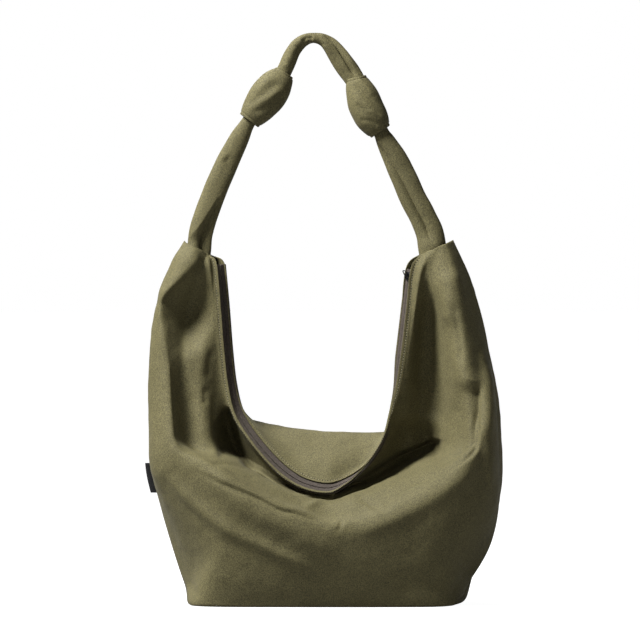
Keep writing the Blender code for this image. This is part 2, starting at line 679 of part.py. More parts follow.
def face_outward():
    """Makes the faces of the lofted strap pieces and the label look out."""
    for name in ("side_label", "strap_crown", "strap_leg_left", "strap_leg_right", "strap_knot_left",
                 "strap_knot_right"):
        mesh = bpy.data.objects[name].data
        work = bmesh.new()
        work.from_mesh(mesh)
        bmesh.ops.recalc_face_normals(work, faces=work.faces)
        work.to_mesh(mesh)
        work.free()


def run():
    clear_scene()
    for name in (COLLECTION, "construction"):
        bpy.context.scene.collection.children.link(bpy.data.collections.new(name))
    panels()
    linings()
    base()
    zip_parts()
    slider()
    pull()
    strap()
    label()
    face_outward()


run()
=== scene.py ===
"""Looks of the cloth hobo bag: cloth panels, zip, knotted strap, label, materials, light and camera.

Lengths in the tables and outlines are millimetres, all others are metres. The frame's X runs along the bag,
Y to its back and Z up. A feature line gives one (x, y, z) point for each of 21 stations along the bag's
U-shaped panels, from the left horn's tip (0) by the middle of the belly (10) to the right horn's tip (20).
"""

import math

import bmesh
import bpy
import numpy as np
from mathutils import Matrix, Vector, noise


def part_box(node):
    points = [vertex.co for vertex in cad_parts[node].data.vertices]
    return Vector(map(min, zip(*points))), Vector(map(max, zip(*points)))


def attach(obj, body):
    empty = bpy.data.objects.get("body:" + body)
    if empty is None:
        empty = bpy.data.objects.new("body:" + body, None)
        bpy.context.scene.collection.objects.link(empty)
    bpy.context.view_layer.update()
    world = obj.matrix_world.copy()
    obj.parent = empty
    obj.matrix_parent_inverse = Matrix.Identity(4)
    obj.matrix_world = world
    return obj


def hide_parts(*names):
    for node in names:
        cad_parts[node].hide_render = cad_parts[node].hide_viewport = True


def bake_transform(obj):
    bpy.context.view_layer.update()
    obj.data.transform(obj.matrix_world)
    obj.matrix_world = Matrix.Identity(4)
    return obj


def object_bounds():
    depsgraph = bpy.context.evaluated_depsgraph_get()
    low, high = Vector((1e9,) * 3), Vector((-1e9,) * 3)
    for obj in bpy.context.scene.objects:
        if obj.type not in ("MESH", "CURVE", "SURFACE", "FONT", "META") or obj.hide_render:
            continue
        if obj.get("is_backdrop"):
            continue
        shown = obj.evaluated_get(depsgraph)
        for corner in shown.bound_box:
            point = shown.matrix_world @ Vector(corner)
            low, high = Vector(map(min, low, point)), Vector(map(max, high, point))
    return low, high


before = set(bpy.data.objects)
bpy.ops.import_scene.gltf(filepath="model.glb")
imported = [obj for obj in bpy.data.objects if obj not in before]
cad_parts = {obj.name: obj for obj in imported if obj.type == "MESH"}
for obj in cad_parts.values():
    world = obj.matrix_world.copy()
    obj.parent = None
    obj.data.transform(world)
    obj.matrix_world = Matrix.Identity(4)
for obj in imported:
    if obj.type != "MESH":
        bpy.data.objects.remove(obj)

CAD_LOW, CAD_HIGH = (tuple(corner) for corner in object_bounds())
MM = 0.001
STATIONS, MIDDLE = 21, 10

# Sheets: steps from station to station and from line to line, passes of rounding, thickness, linings' inset
ALONG_STEPS, ACROSS_STEPS = 24, 18
ROUNDING, HOLLOW_ROUNDING = 30, 2
SHELL, LINING = 1.2 * MM, 0.6 * MM
LINING_INSET, POCKET_INSET = 6.8 * MM, 12.0 * MM
LINING_SLACK, LINING_SLACK_SIZE = 0.6 * MM, 30 * MM

# Slack of the panels: height and size of soft bulges and of ripples, and where they fade toward the edges
BULGE, BULGE_SIZE, BULGE_STRETCH = 1.1 * MM, 34 * MM, (1.0, 1.0, 0.6)
RIPPLE, RIPPLE_SIZE = 0.45 * MM, 13 * MM
HEM_FADE, HEM_LEAST, SEAM_FADE = 14 * MM, 0.15, 6
# Hollows start this far from the neckline, grow over this width, and fade toward the side seam
HOLLOW_FROM, HOLLOW_OVER, HOLLOW_SEAM = 3.0 * MM, 4.0 * MM, 12

BASE_LEFT, BASE_RIGHT = 7, 13
BOXED_CORNER, BOXED_STATIONS = 10.5 * MM, 0.9
SEAM_GAP, BASE_TUCK = 0.5 * MM, 1.4 * MM

# Neckline: how far beside the zip's middle its edge and its hem run, and how far over the tape
NECK_REACH, HEM_REACH, NECK_HEIGHT = 6.6 * MM, 11.4 * MM, 1.9 * MM
# Toward the horns the front hem turns outward and the back hem folds under the tape
FRONT_TURN, BACK_TURN = (2.5, 3.0), (4.5, 1.5)
FRONT_HEM_BACKWARD = 0.12
BACK_NECK_HEIGHT, BACK_HEM_PAST_NECK, BACK_HEM_HEIGHT = 0.9 * MM, 0.6 * MM, -4.2 * MM
# Doubled cloth at the hem, and the dip its stitches pull, in millimetres
HEM_RISE, HEM_WIDTH, HEM_SHARPNESS, STITCH_DIP = 0.45, 7.0, 1.2, 0.5

STITCH_PITCH, STITCH_LONG, STITCH_WIDE = 3.2 * MM, 2.1 * MM, 0.9 * MM
HOLE_LONG, HOLE_WIDE = 1.3 * MM, 1.15 * MM
STITCH_FROM_EDGE, STITCH_LIFT, STITCH_SIDES = 3.8 * MM, 0.35 * MM, 6
# Rings of a stitch: shares of its length and width, and height in lifts
STITCH_RINGS = (
    (-0.5, 0.0, -0.35), (-0.36, 0.75, -0.05), (0.0, 1.0, 0.12), (0.36, 0.75, -0.05), (0.5, 0.0, -0.35),
)

ZIP_START, ZIP_END, ZIP_POINTS = 1, 19, 701
TAPE, TAPE_INNER, TAPE_OUTER = 0.7 * MM, 0.45 * MM, 9.4 * MM
# The front tape narrows toward the horns, and both tapes' inner edges wave a little
TAPE_TUCK, TAPE_TURN = 2.7 * MM, (3.0, 2.0)
TAPE_WAVE, TAPE_WAVE_REACH, TAPE_WAVE_TURN = 0.18 * MM, 1.6 * MM, 0.9
COIL_RADIUS, COIL_WIRE, COIL_PITCH = 1.1 * MM, 0.3 * MM, 1.5 * MM
COIL_OFFSET, COIL_DEPTH = 1.95 * MM, -1.85 * MM
COIL_BEND, COIL_FLATTER, COIL_TURN_STEPS, COIL_SHORTER = 0.72, 1.15, 9, 8
SLIDER_AT = 12 * MM
PULL_HALF, PULL_REACH, PULL_CORNER, PULL_WIRE = 3.7 * MM, 7.4 * MM, 1.6 * MM, 0.6 * MM
PULL_HINGE, PULL_ANGLE = 3.1 * MM, 35

LABEL_STATIONS = (5.1, 5.68)
LABEL_SHOWS, LABEL_TUCKED, LABEL_HALF, LABEL_TAPE = 7.0 * MM, 6.0 * MM, 0.75 * MM, 0.35 * MM

FLOOR_HALF = 40.0
# Name, place from the bag's middle, size and power
LAMPS = [("key", (-1.45, -0.85, 2.1), 0.8, 225.0), ("rim", (-0.6, 1.6, 1.9), 1.0, 30.0)]
CAMERA_LENS, CAMERA_SENSOR, CAMERA_REACH = 282, 36, 120
CAMERA_DISTANCE, CAMERA_RISE = 6.02, 0.6
AIM_LEFT, AIM_DOWN = 6 * MM, 3 * MM

SEAM = [
    (-168, -1, 435), (-185, 3, 405), (-202, 7, 356), (-207, 8, 294), (-208, 8, 234), (-208, 6, 174),
    (-195, 2, 110), (-168, -4, 24), (-155, -66, 1), (-78, -79, 0), (10, -80, 0), (96, -79, 0), (152, -66, 1),
    (178, -4, 31), (202, -2, 76), (211, 0, 136), (208, 0, 208), (202, -2, 274), (192, -2, 334),
    (175, -1, 391), (155, -1, 436),
]
FRONT_ROLL = [
    (-166, -9, 433), (-182, -18, 403), (-203, -13, 356), (-210, -22, 292), (-211, -30, 232), (-210, -42, 168),
    (-184, -60, 128), (-140, -83, 82), (-116, -90, 64), (-66, -94, 52), (6, -97, 47), (76, -96, 50),
    (128, -90, 62), (160, -79, 80), (190, -62, 112), (206, -46, 158), (204, -40, 220), (193, -31, 276),
    (183, -22, 333), (168, -16, 388), (151, -9, 434),
]
FRONT_CREST = [
    (-158, -15, 429), (-162, -31, 403), (-196, -35, 357), (-186, -46, 295), (-183, -60, 236),
    (-178, -76, 190), (-140, -90, 166), (-103, -99, 138), (-70, -103, 121), (-36, -105, 107), (4, -106, 94),
    (53, -105, 100), (97, -101, 116), (134, -94, 134), (161, -85, 156), (177, -75, 182), (179, -65, 220),
    (173, -53, 275), (165, -41, 334), (156, -30, 388), (147, -15, 432),
]
FRONT_SLOPE = [
    (-152, -17, 426), (-153, -30, 402), (-178, -24, 352), (-175, -37, 297), (-173, -46, 239),
    (-168, -60, 196), (-131, -80, 172), (-95, -88, 148), (-62, -90, 132), (-30, -90, 117), (4, -90, 107),
    (46, -89, 114), (86, -84, 131), (119, -73, 151), (145, -60, 169), (162, -52, 190), (163, -50, 226),
    (156, -43, 278), (151, -35, 335), (142, -28, 387), (142, -17, 430),
]
FRONT_VALLEY = [
    (-147, -17, 424), (-147, -24, 401), (-162, -8, 350), (-166, -28, 298), (-163, -32, 242), (-157, -43, 190),
    (-122, -64, 177), (-87, -73, 158), (-57, -75, 143), (-26, -75, 129), (4, -75, 119), (39, -72, 128),
    (75, -62, 145), (102, -48, 157), (124, -30, 173), (139, -10, 196), (138, 2, 232), (135, 4, 280),
    (131, -6, 337), (126, -18, 387), (137, -17, 428),
]
FRONT_RIDGE = [
    (-143, -16, 421), (-141, -21, 403), (-143, -12, 351), (-148, -28, 299), (-145, -35, 246),
    (-138, -44, 202), (-115, -36, 181), (-82, -54, 160), (-54, -60, 144), (-24, -63, 132), (4, -63, 125),
    (37, -57, 135), (70, -42, 149), (94, -26, 161), (112, -10, 176), (120, -2, 202), (120, -1, 238),
    (118, -3, 284), (117, -11, 338), (119, -18, 388), (132, -16, 425),
]
FRONT_UNDER = [
    (-140, -13, 419), (-136, -19, 405), (-134, -15, 352), (-131, -17, 300), (-124, -17, 246), (-114, 1, 204),
    (-100, -4, 176), (-74, -22, 149), (-48, -37, 132), (-22, -46, 122), (4, -48, 119), (36, -41, 127),
    (60, -27, 141), (78, -13, 156), (92, -3, 178), (100, -3, 206), (104, -9, 242), (105, -13, 284),
    (108, -17, 338), (114, -22, 392), (126, -13, 423),
]
BACK_ROLL = [
    (-166, 9, 433), (-184, 18, 404), (-200, 26, 355), (-205, 32, 294), (-208, 38, 234), (-206, 46, 176),
    (-190, 58, 122), (-152, 84, 82), (-122, 94, 64), (-68, 100, 54), (8, 102, 50), (82, 100, 54),
    (134, 94, 64), (168, 80, 82), (202, 48, 110), (217, 34, 160), (214, 26, 216), (206, 20, 276),
    (190, 16, 334), (174, 12, 391), (151, 9, 434),
]
BACK_BULGE = [
    (-158, 15, 429), (-168, 26, 403), (-184, 38, 354), (-188, 48, 296), (-188, 60, 238), (-184, 74, 190),
    (-160, 86, 150), (-124, 96, 128), (-92, 99, 118), (-48, 100, 114), (8, 100, 112), (64, 99, 112),
    (104, 97, 114), (140, 92, 124), (174, 82, 148), (192, 66, 186), (192, 52, 230), (182, 40, 282),
    (170, 32, 336), (158, 24, 390), (147, 15, 432),
]
BACK_UPPER = [
    (-152, 17, 426), (-154, 28, 402), (-164, 40, 353), (-166, 50, 297), (-164, 62, 243), (-156, 74, 212),
    (-134, 80, 190), (-104, 80, 180), (-76, 76, 174), (-40, 73, 171), (8, 72, 169), (52, 73, 169),
    (86, 74, 171), (116, 76, 177), (144, 72, 190), (158, 64, 214), (160, 52, 244), (154, 42, 286),
    (148, 33, 338), (144, 25, 390), (142, 17, 430),
]
BACK_RIDGE = [
    (-147, 17, 424), (-141, 24, 403), (-144, 32, 352), (-142, 38, 299), (-138, 46, 252), (-126, 46, 232),
    (-104, 40, 224), (-80, 32, 219), (-54, 26, 215), (-24, 22, 210), (8, 20, 208), (34, 22, 207),
    (58, 26, 206), (84, 32, 207), (108, 38, 218), (122, 42, 236), (126, 38, 258), (124, 32, 290),
    (124, 26, 339), (129, 20, 390), (137, 17, 428),
]
BACK_SLOPE = [
    (-142, 14, 421), (-129, 14, 404), (-124, 16, 352), (-118, 16, 300), (-113, 20, 258), (-101, 14, 234),
    (-80, 4, 215), (-56, -8, 196), (-38, -16, 184), (-18, -22, 178), (6, -24, 176), (28, -20, 180),
    (48, -12, 187), (66, -2, 196), (82, 8, 210), (92, 14, 230), (97, 14, 255), (101, 13, 289), (106, 11, 339),
    (116, 10, 394), (129, 13, 424),
]
# The middle of the zip at stations 1 to 19. The last four points lie on one straight line: the slider's run.
ZIP_RUN_LOW, ZIP_RUN_TOP = (86, -11, 262), (103, -7, 404)
ZIP_RUN_SHARES = (0.0, 0.27, 0.62, 1.0)
ZIP_LINE = [
    (-125, -7, 407), (-120, -9, 354), (-116, -10, 303), (-111, -12, 261), (-102, -18, 227), (-82, -28, 196),
    (-57, -38, 168), (-35, -45, 151), (-16, -49, 143), (4, -51, 140), (27, -47, 148), (48, -41, 164),
    (64, -33, 184), (74, -25, 205), (80, -18, 231),
]
ZIP_FACING = [
    (0.68, -0.73, 0.0), (0.68, -0.73, 0.0), (0.68, -0.73, 0.0), (0.67, -0.73, 0.1), (0.58, -0.74, 0.3),
    (0.45, -0.75, 0.48), (0.3, -0.76, 0.58), (0.15, -0.76, 0.63), (0.05, -0.76, 0.65), (0.0, -0.74, 0.67),
    (-0.2, -0.35, 0.9), (-0.35, 0.05, 0.93), (-0.6, 0.15, 0.78), (-0.8, 0.15, 0.58), (-0.94, 0.05, 0.33),
    (-0.96, -0.25, 0.1), (-0.87, -0.48, 0.1), (-0.87, -0.48, 0.1), (-0.87, -0.48, 0.1),
]
NECK_TIPS = {"front": ((-136, -7, 417), (120, -7, 421)), "back": ((-136, 7, 417), (120, 7, 421))}

# ---------------------------------------------------------------- curves and grids

def unit(vectors):
    return vectors / np.maximum(np.linalg.norm(vectors, axis=-1, keepdims=True), 1e-12)


def smooth_step(share):
    return share * share * (3 - 2 * share)


def spline(knots, values, at):
    """A smooth curve, without overshoot, through values (n by k) given at the knots, read at places at."""
    knots, values, at = np.asarray(knots, float), np.asarray(values, float), np.asarray(at, float)
    steps = np.diff(knots)
    slopes = np.diff(values, axis=0) / steps[:, None]
    before, after = slopes[:-1], slopes[1:]
    limit = 3.0 * np.minimum(np.abs(before), np.abs(after))
    blend = np.clip((before + after) / 2, -limit, limit)
    tangents = np.vstack([slopes[:1], np.where(before * after <= 0.0, 0.0, blend), slopes[-1:]])
    i = np.clip(np.searchsorted(knots, at, side="right") - 1, 0, len(knots) - 2)
    h = steps[i][:, None]
    t = ((at - knots[i]) / steps[i])[:, None]
    return (
        (2 * t**3 - 3 * t**2 + 1) * values[i]
        + (t**3 - 2 * t**2 + t) * h * tangents[i]
        + (-2 * t**3 + 3 * t**2) * values[i + 1]
        + (t**3 - t**2) * h * tangents[i + 1]
    )


def walked_along(line):
    """Distance from a line's start to each of its points."""
    return np.concatenate([[0], np.cumsum(np.linalg.norm(np.diff(line, axis=0), axis=1))])


def walked_grid(points, axis):
    """Distance walked to each point of a grid along one of its axes."""
    walked = np.cumsum(np.linalg.norm(np.diff(points, axis=axis), axis=2), axis=axis)
    return np.concatenate([np.zeros_like(np.take(walked, [0], axis=axis)), walked], axis=axis)


def read_at(at, walked, values):
    """Rows of three values given at walked distances, read at the distances in at."""
    return np.stack([np.interp(at, walked, values[:, k]) for k in range(3)], axis=1)


def directions(points, axis):
    """Sum of the unit steps before and after each point along one axis of a grid."""
    steps = unit(np.diff(points, axis=axis))
    first, last = np.take(steps, [0], axis=axis), np.take(steps, [-1], axis=axis)
    return np.concatenate([first, steps], axis=axis) + np.concatenate([steps, last], axis=axis)


def grid_normals(points, flip):
    """Unit normals of a grid of points (rows, columns, 3)."""
    normals = unit(np.cross(directions(points, 1), directions(points, 0)))
    return -normals if flip else normals


def relax(points, passes):
    """Rounds a grid by moving each point toward its neighbours' mean, with its outer edges held in place."""
    made = points.copy()
    for _ in range(passes):
        across = (made[:, 2:] + made[:, :-2]) / 2
        made[:, 1:-1] += 0.5 * (across - made[:, 1:-1])
        along = (made[2:, 1:-1] + made[:-2, 1:-1]) / 2
        made[1:-1, 1:-1] += 0.5 * (along - made[1:-1, 1:-1])
    return made


def smooth_noise(points, scale, seed):
    """Soft noise from -1 to 1 at each point of an array of positions."""
    offset = Vector((seed * 17.3, seed * 5.1, seed * 9.7))
    flat = points.reshape(-1, 3) / scale
    values = [noise.noise(Vector(p) + offset) for p in flat]
    return np.array(values).reshape(points.shape[:-1])


# ---------------------------------------------------------------- objects

def added(name, data, material=None):
    """A new object in the scene."""
    obj = bpy.data.objects.new(name, data)
    bpy.context.scene.collection.objects.link(obj)
    if material:
        obj.data.materials.append(material)
    return obj


def belongs(made, body, replaced):
    """Puts a piece on its body, in place of a CAD node."""
    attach(made, body)
    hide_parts(replaced)


def grid_object(name, points, flip, thickness, material, closed=False, offset=-1.0):
    """A sheet from a grid of points, with a map in metres and its thickness from a Solidify modifier."""
    rows, columns = points.shape[:2]
    mesh = bpy.data.meshes.new(name)
    index = np.arange(rows * columns).reshape(rows, columns)
    right = np.roll(index, -1, axis=1) if closed else index[:, 1:]
    left = index if closed else index[:, :-1]
    quads = np.stack([left[:-1], right[:-1], right[1:], left[1:]], axis=-1).reshape(-1, 4)
    if flip:
        quads = quads[:, ::-1]
    mesh.from_pydata(points.reshape(-1, 3).tolist(), [], quads.tolist())
    along, across = walked_grid(points, 0), walked_grid(points, 1)
    along = np.broadcast_to(along.mean(axis=1, keepdims=True), along.shape)
    layer = mesh.uv_layers.new(name="cloth")
    corners = np.empty(len(mesh.loops), np.int32)
    mesh.loops.foreach_get("vertex_index", corners)
    maps = np.stack([along.reshape(-1)[corners], across.reshape(-1)[corners]], axis=1)
    layer.data.foreach_set("uv", maps.astype(np.float32).reshape(-1))
    mesh.shade_smooth()
    obj = added(name, mesh, material)
    if thickness:
        shell = obj.modifiers.new("cloth", "SOLIDIFY")
        shell.thickness = thickness
        shell.offset = offset
    return obj


def mesh_object(name, points, faces, material, smooth=True):
    mesh = bpy.data.meshes.new(name)
    mesh.from_pydata([tuple(p) for p in points], [], faces)
    if smooth:
        mesh.shade_smooth()
    return added(name, mesh, material)


def wire_object(name, points, radius, material, sides, closed=False):
    """A round wire through points."""
    curve = bpy.data.curves.new(name, "CURVE")
    curve.dimensions = "3D"
    curve.bevel_depth = radius
    curve.bevel_resolution = sides
    curve.use_fill_caps = not closed
    path = curve.splines.new("POLY")
    path.points.add(len(points) - 1)
    weighted = np.hstack([points, np.ones((len(points), 1))])
    path.points.foreach_set("co", weighted.astype(np.float32).reshape(-1))
    path.use_cyclic_u = closed
    path.use_smooth = True
    return added(name, curve, material)


# ---------------------------------------------------------------- folds

def along_line(line, samples=28):
    """A polyline through given (x, z) points in mm, as metres, rounded and evenly sampled."""
    line = np.array(line, float) * MM
    if len(line) > 2:
        line = spline(np.arange(len(line)), line, np.linspace(0, len(line) - 1, samples))
    return line


def near_line(flat, line):
    """For points (n, 2): signed distance from a polyline, positive on its left, and the share along it."""
    best = np.full(len(flat), 1e9)
    signed = np.zeros(len(flat))
    share = np.zeros(len(flat))
    lengths = np.linalg.norm(np.diff(line, axis=0), axis=1)
    starts = walked_along(line)
    for number, (a, b) in enumerate(zip(line[:-1], line[1:])):
        run = b - a
        t = np.clip(((flat - a) @ run) / max(run @ run, 1e-12), 0, 1)
        gap = flat - (a + t[:, None] * run)
        distance = np.hypot(gap[:, 0], gap[:, 1])
        closer = distance < best
        turn = run[0] * gap[:, 1] - run[1] * gap[:, 0]
        best = np.where(closer, distance, best)
        signed = np.where(closer, np.where(turn >= 0, distance, -distance), signed)
        share = np.where(closer, (starts[number] + t * lengths[number]) / starts[-1], share)
    return signed, share


def fold(points, line, width, height, kind, rows=(0.0, 1.0), ends=0.25):
    """Height in metres, along the surface's normal, of one fold that follows a line drawn on the front.

    A valley or ridge is a round groove or bead. A lap rises on its left side and drops on its right. A turn
    slopes away on its left side. The fold is held to the rows' part of the way across the sheet.
    """
    flat = points[:, :, [0, 2]].reshape(-1, 2)
    signed, share = near_line(flat, along_line(line))
    t = signed / (width * MM)
    shape = {
        "valley": -np.exp(-t * t),
        "ridge": np.exp(-t * t),
        "turn": -np.clip(t, 0, 3) / 3,
        "lap": np.where(t > 0, np.exp(-0.35 * t) * np.tanh(3 * t), -np.exp(-t * t) * np.tanh(-3 * t)),
    }[kind]
    fade = smooth_step(np.clip(np.minimum(share, 1 - share) / ends, 0, 1))
    across = np.broadcast_to(np.linspace(0, 1, points.shape[1]), points.shape[:2]).reshape(-1)
    soft = 0.05
    window = np.clip((across - rows[0]) / soft + 1, 0, 1) * np.clip((rows[1] - across) / soft + 1, 0, 1)
    return (height * MM * shape * fade * window).reshape(points.shape[:2])


def press(points, outline, depth, soft, share_kept):
    """Pushes a region of the front, outlined by (x, z) points in mm, back by depth mm with a soft rim."""
    flat = points[:, :, [0, 2]].reshape(-1, 2)
    rim = np.array(outline + outline[:1], float) * MM
    away, _ = near_line(flat, rim)
    inside = np.zeros(len(flat), bool)
    for a, b in zip(rim[:-1], rim[1:]):
        spans = (a[1] > flat[:, 1]) != (b[1] > flat[:, 1])
        cut = a[0] + (flat[:, 1] - a[1]) / (b[1] - a[1] + 1e-12) * (b[0] - a[0])
        inside ^= spans & (flat[:, 0] < cut)
    share = smooth_step(np.clip(0.5 + np.where(inside, 0.5, -0.5) * np.abs(away) / (soft * MM), 0, 1))
    points[..., 1] += depth * MM * share.reshape(points.shape[:2]) * share_kept


# ---------------------------------------------------------------- zip line

def up_the_horns(stations, start, over):
    """0 in the belly and 1 in the horns: rises from start stations beside the middle, over some stations."""
    return np.clip((np.abs(stations - MIDDLE) - start) / over, 0, 1)


def zip_knots():
    low, top = np.array(ZIP_RUN_LOW, float), np.array(ZIP_RUN_TOP, float)
    run = [low + share * (top - low) for share in ZIP_RUN_SHARES]
    return np.vstack([ZIP_LINE, run]) * MM


def zip_frames(stations):
    """Middle, direction, outward normal and front-to-back side of the zip at the stations."""
    knots = np.arange(ZIP_START, ZIP_END + 1)
    line = zip_knots()
    middle = spline(knots, line, stations)
    nudge = 0.02
    ahead = spline(knots, line, np.minimum(stations + nudge, ZIP_END))
    behind = spline(knots, line, np.maximum(stations - nudge, ZIP_START))
    direction = unit(ahead - behind)
    facing = spline(knots, ZIP_FACING, stations)
    normal = unit(facing - (facing * direction).sum(1)[:, None] * direction)
    side = np.cross(normal, direction)
    return middle, direction, normal, side


def neck_row(which, reach, height):
    """Feature line that runs beside the zip at the given distance, and on to the horns' tips."""
    knots = np.arange(ZIP_START, ZIP_END + 1)
    middle, _, normal, side = zip_frames(knots.astype(float))
    sign = -1 if which == "front" else 1
    beside = middle + sign * reach * side + height * normal
    left, right = (np.array(tip, float) * MM for tip in NECK_TIPS[which])
    return np.vstack([left, beside, right])


def back_seam():
    """The back's side seam, a gap behind the front's, with the base's front edge mirrored to its back."""
    edge = np.array(SEAM, float)
    base = np.zeros(STATIONS, bool)
    base[BASE_LEFT + 1 : BASE_RIGHT] = True
    edge[~base, 1] += SEAM_GAP / MM
    edge[base, 1] *= -1
    return edge * MM


def with_neck(which, rows):
    """A panel's feature lines in metres, with the hem and the neckline's edge added."""
    hem = neck_row(which, HEM_REACH, NECK_HEIGHT)
    neck = neck_row(which, NECK_REACH, NECK_HEIGHT)
    stations = np.arange(STATIONS)
    if which == "front":
        turned = up_the_horns(stations, *FRONT_TURN)[:, None]
        backward, upward = np.full(STATIONS, FRONT_HEM_BACKWARD), np.zeros(STATIONS)
        outward = np.stack([np.sign(stations - MIDDLE), backward, upward], axis=1)
        hem += turned * (neck + (HEM_REACH - NECK_REACH) * outward - hem)
    else:
        turned = up_the_horns(stations, *BACK_TURN)[:, None]
        neck += turned * (neck_row(which, NECK_REACH, BACK_NECK_HEIGHT) - neck)
        hem += turned * (neck_row(which, NECK_REACH + BACK_HEM_PAST_NECK, BACK_HEM_HEIGHT) - hem)
    hem[[0, -1]] = (neck[[0, -1]] + rows[-1][[0, -1]]) / 2
    return rows + [hem, neck]


def metres(*tables):
    return [np.array(table, float) * MM for table in tables]


def front_lines():
    rows = metres(SEAM, FRONT_ROLL, FRONT_CREST, FRONT_SLOPE, FRONT_VALLEY, FRONT_RIDGE, FRONT_UNDER)
    return with_neck("front", rows)


def back_lines():
    rows = metres(BACK_ROLL, BACK_BULGE, BACK_UPPER, BACK_RIDGE, BACK_SLOPE)
    return with_neck("back", [back_seam()] + rows)


def sheet_grid(lines, stations, across):
    """Points of the sheet lofted through feature lines: (stations, across, 3)."""
    along = np.stack([spline(np.arange(STATIONS), line, stations) for line in lines], axis=1)
    rows = np.arange(len(lines))
    return np.stack([spline(rows, points, across) for points in along])


def whole_sheet(lines):
    """The sheet at full fineness, evenly spaced across and rounded."""
    stations = np.linspace(0, STATIONS - 1, (STATIONS - 1) * ALONG_STEPS + 1)
    count = len(lines) - 1
    points = sheet_grid(lines, stations, np.linspace(0, count, count * ACROSS_STEPS + 1))
    return relax(points, ROUNDING)


# ---------------------------------------------------------------- materials

def fill(made, **inputs):
    """Sets a node's inputs, each to a value or by a link from another node's output."""
    for name, value in inputs.items():
        socket = made.inputs[name.replace("_", " ")]
        if isinstance(value, bpy.types.NodeSocket):
            made.id_data.links.new(value, socket)
        else:
            socket.default_value = value
    return made


def node(tree, kind, **inputs):
    return fill(tree.nodes.new(kind), **inputs)


def mixed(tree, blend, **inputs):
    """Output of a mix of two colours."""
    made = tree.nodes.new("ShaderNodeMix")
    made.data_type = "RGBA"
    made.blend_type = blend
    return fill(made, **inputs).outputs["Result"]


def stretched(tree, value, low, high, new_low, new_high):
    """Output of a map of a value's range onto a new one."""
    ends = {"From_Min": low, "From_Max": high, "To_Min": new_low, "To_Max": new_high}
    return node(tree, "ShaderNodeMapRange", Value=value, **ends).outputs[0]


def new_material(name):
    """A material, its node tree and its shader."""
    material = bpy.data.materials.new(name)
    material.use_nodes = True
    return material, material.node_tree, material.node_tree.nodes["Principled BSDF"]


def cloth_material(name, colour, dark, sheen, pitch, weave=0.25, soft=0.6):
    """Woven cloth: diagonal twill ribs and cross yarns in the cloth's own map, mottled and softly crumpled."""
    material, tree, shader = new_material(name)
    uv = node(tree, "ShaderNodeUVMap")
    uv.uv_map = "cloth"
    waves = {"Vector": uv.outputs["UV"], "Detail": 2.0}
    twill = node(tree, "ShaderNodeTexWave", Scale=0.63 / pitch, Distortion=1.2, Detail_Scale=1.5, **waves)
    twill.bands_direction = "DIAGONAL"
    yarn = node(tree, "ShaderNodeTexWave", Scale=0.31 / pitch, Distortion=0.8, **waves)
    yarn.bands_direction = "X"
    place = node(tree, "ShaderNodeTexCoord").outputs["Object"]
    mottle = node(tree, "ShaderNodeTexNoise", Vector=place, Scale=850.0, Detail=2.0, Roughness=0.6)
    patches = node(tree, "ShaderNodeTexNoise", Vector=place, Scale=14.0, Detail=4.0, Roughness=0.55)
    crumple = node(tree, "ShaderNodeTexNoise", Vector=place, Scale=42.0, Detail=5.0, Roughness=0.55)
    fill(crumple, Distortion=0.4)
    ribs = node(tree, "ShaderNodeMath")
    ribs.operation = "MULTIPLY"
    for number, wave in enumerate((twill, yarn)):
        tree.links.new(wave.outputs["Fac"], ribs.inputs[number])
    share = stretched(tree, ribs.outputs[0], 0.0, 1.0, 0.45, 1.0)
    tone = mixed(tree, "MIX", Factor=share, A=(*dark, 1.0), B=(*colour, 1.0))
    for texture, *ends in ((mottle, 0.33, 0.67, 0.5, 1.5), (patches, 0.35, 0.65, 0.93, 1.06)):
        shade = stretched(tree, texture.outputs["Fac"], *ends)
        tone = mixed(tree, "MULTIPLY", Factor=1.0, A=tone, B=shade)
    coarse = node(tree, "ShaderNodeBump", Strength=soft, Distance=1.6 * MM, Height=crumple.outputs["Fac"])
    fine = node(tree, "ShaderNodeBump", Strength=weave, Distance=0.25 * MM, Height=ribs.outputs[0])
    fill(fine, Normal=coarse.outputs["Normal"])
    fill(shader, Base_Color=tone, Roughness=0.78, Specular_IOR_Level=0.3, Normal=fine.outputs["Normal"])
    fill(shader, Sheen_Weight=sheen, Sheen_Roughness=0.45, Sheen_Tint=(0.85, 0.8, 0.62, 1.0))
    return material


def hard_material(name, colour, roughness, metallic):
    """Painted or moulded surface with fine unevenness in its gloss and relief."""
    material, tree, shader = new_material(name)
    place = node(tree, "ShaderNodeTexCoord").outputs["Object"]
    spots = node(tree, "ShaderNodeTexNoise", Vector=place, Scale=1500.0, Detail=3.0).outputs["Fac"]
    gloss = stretched(tree, spots, 0.0, 1.0, roughness - 0.08, roughness + 0.1)
    darker, lighter = ((*(share * c for c in colour), 1.0) for share in (0.8, 1.15))
    tint = mixed(tree, "MIX", Factor=spots, A=darker, B=lighter)
    bump = node(tree, "ShaderNodeBump", Strength=0.1, Distance=0.05 * MM, Height=spots)
    fill(shader, Base_Color=tint, Metallic=metallic, Roughness=gloss, Normal=bump.outputs["Normal"])
    return material
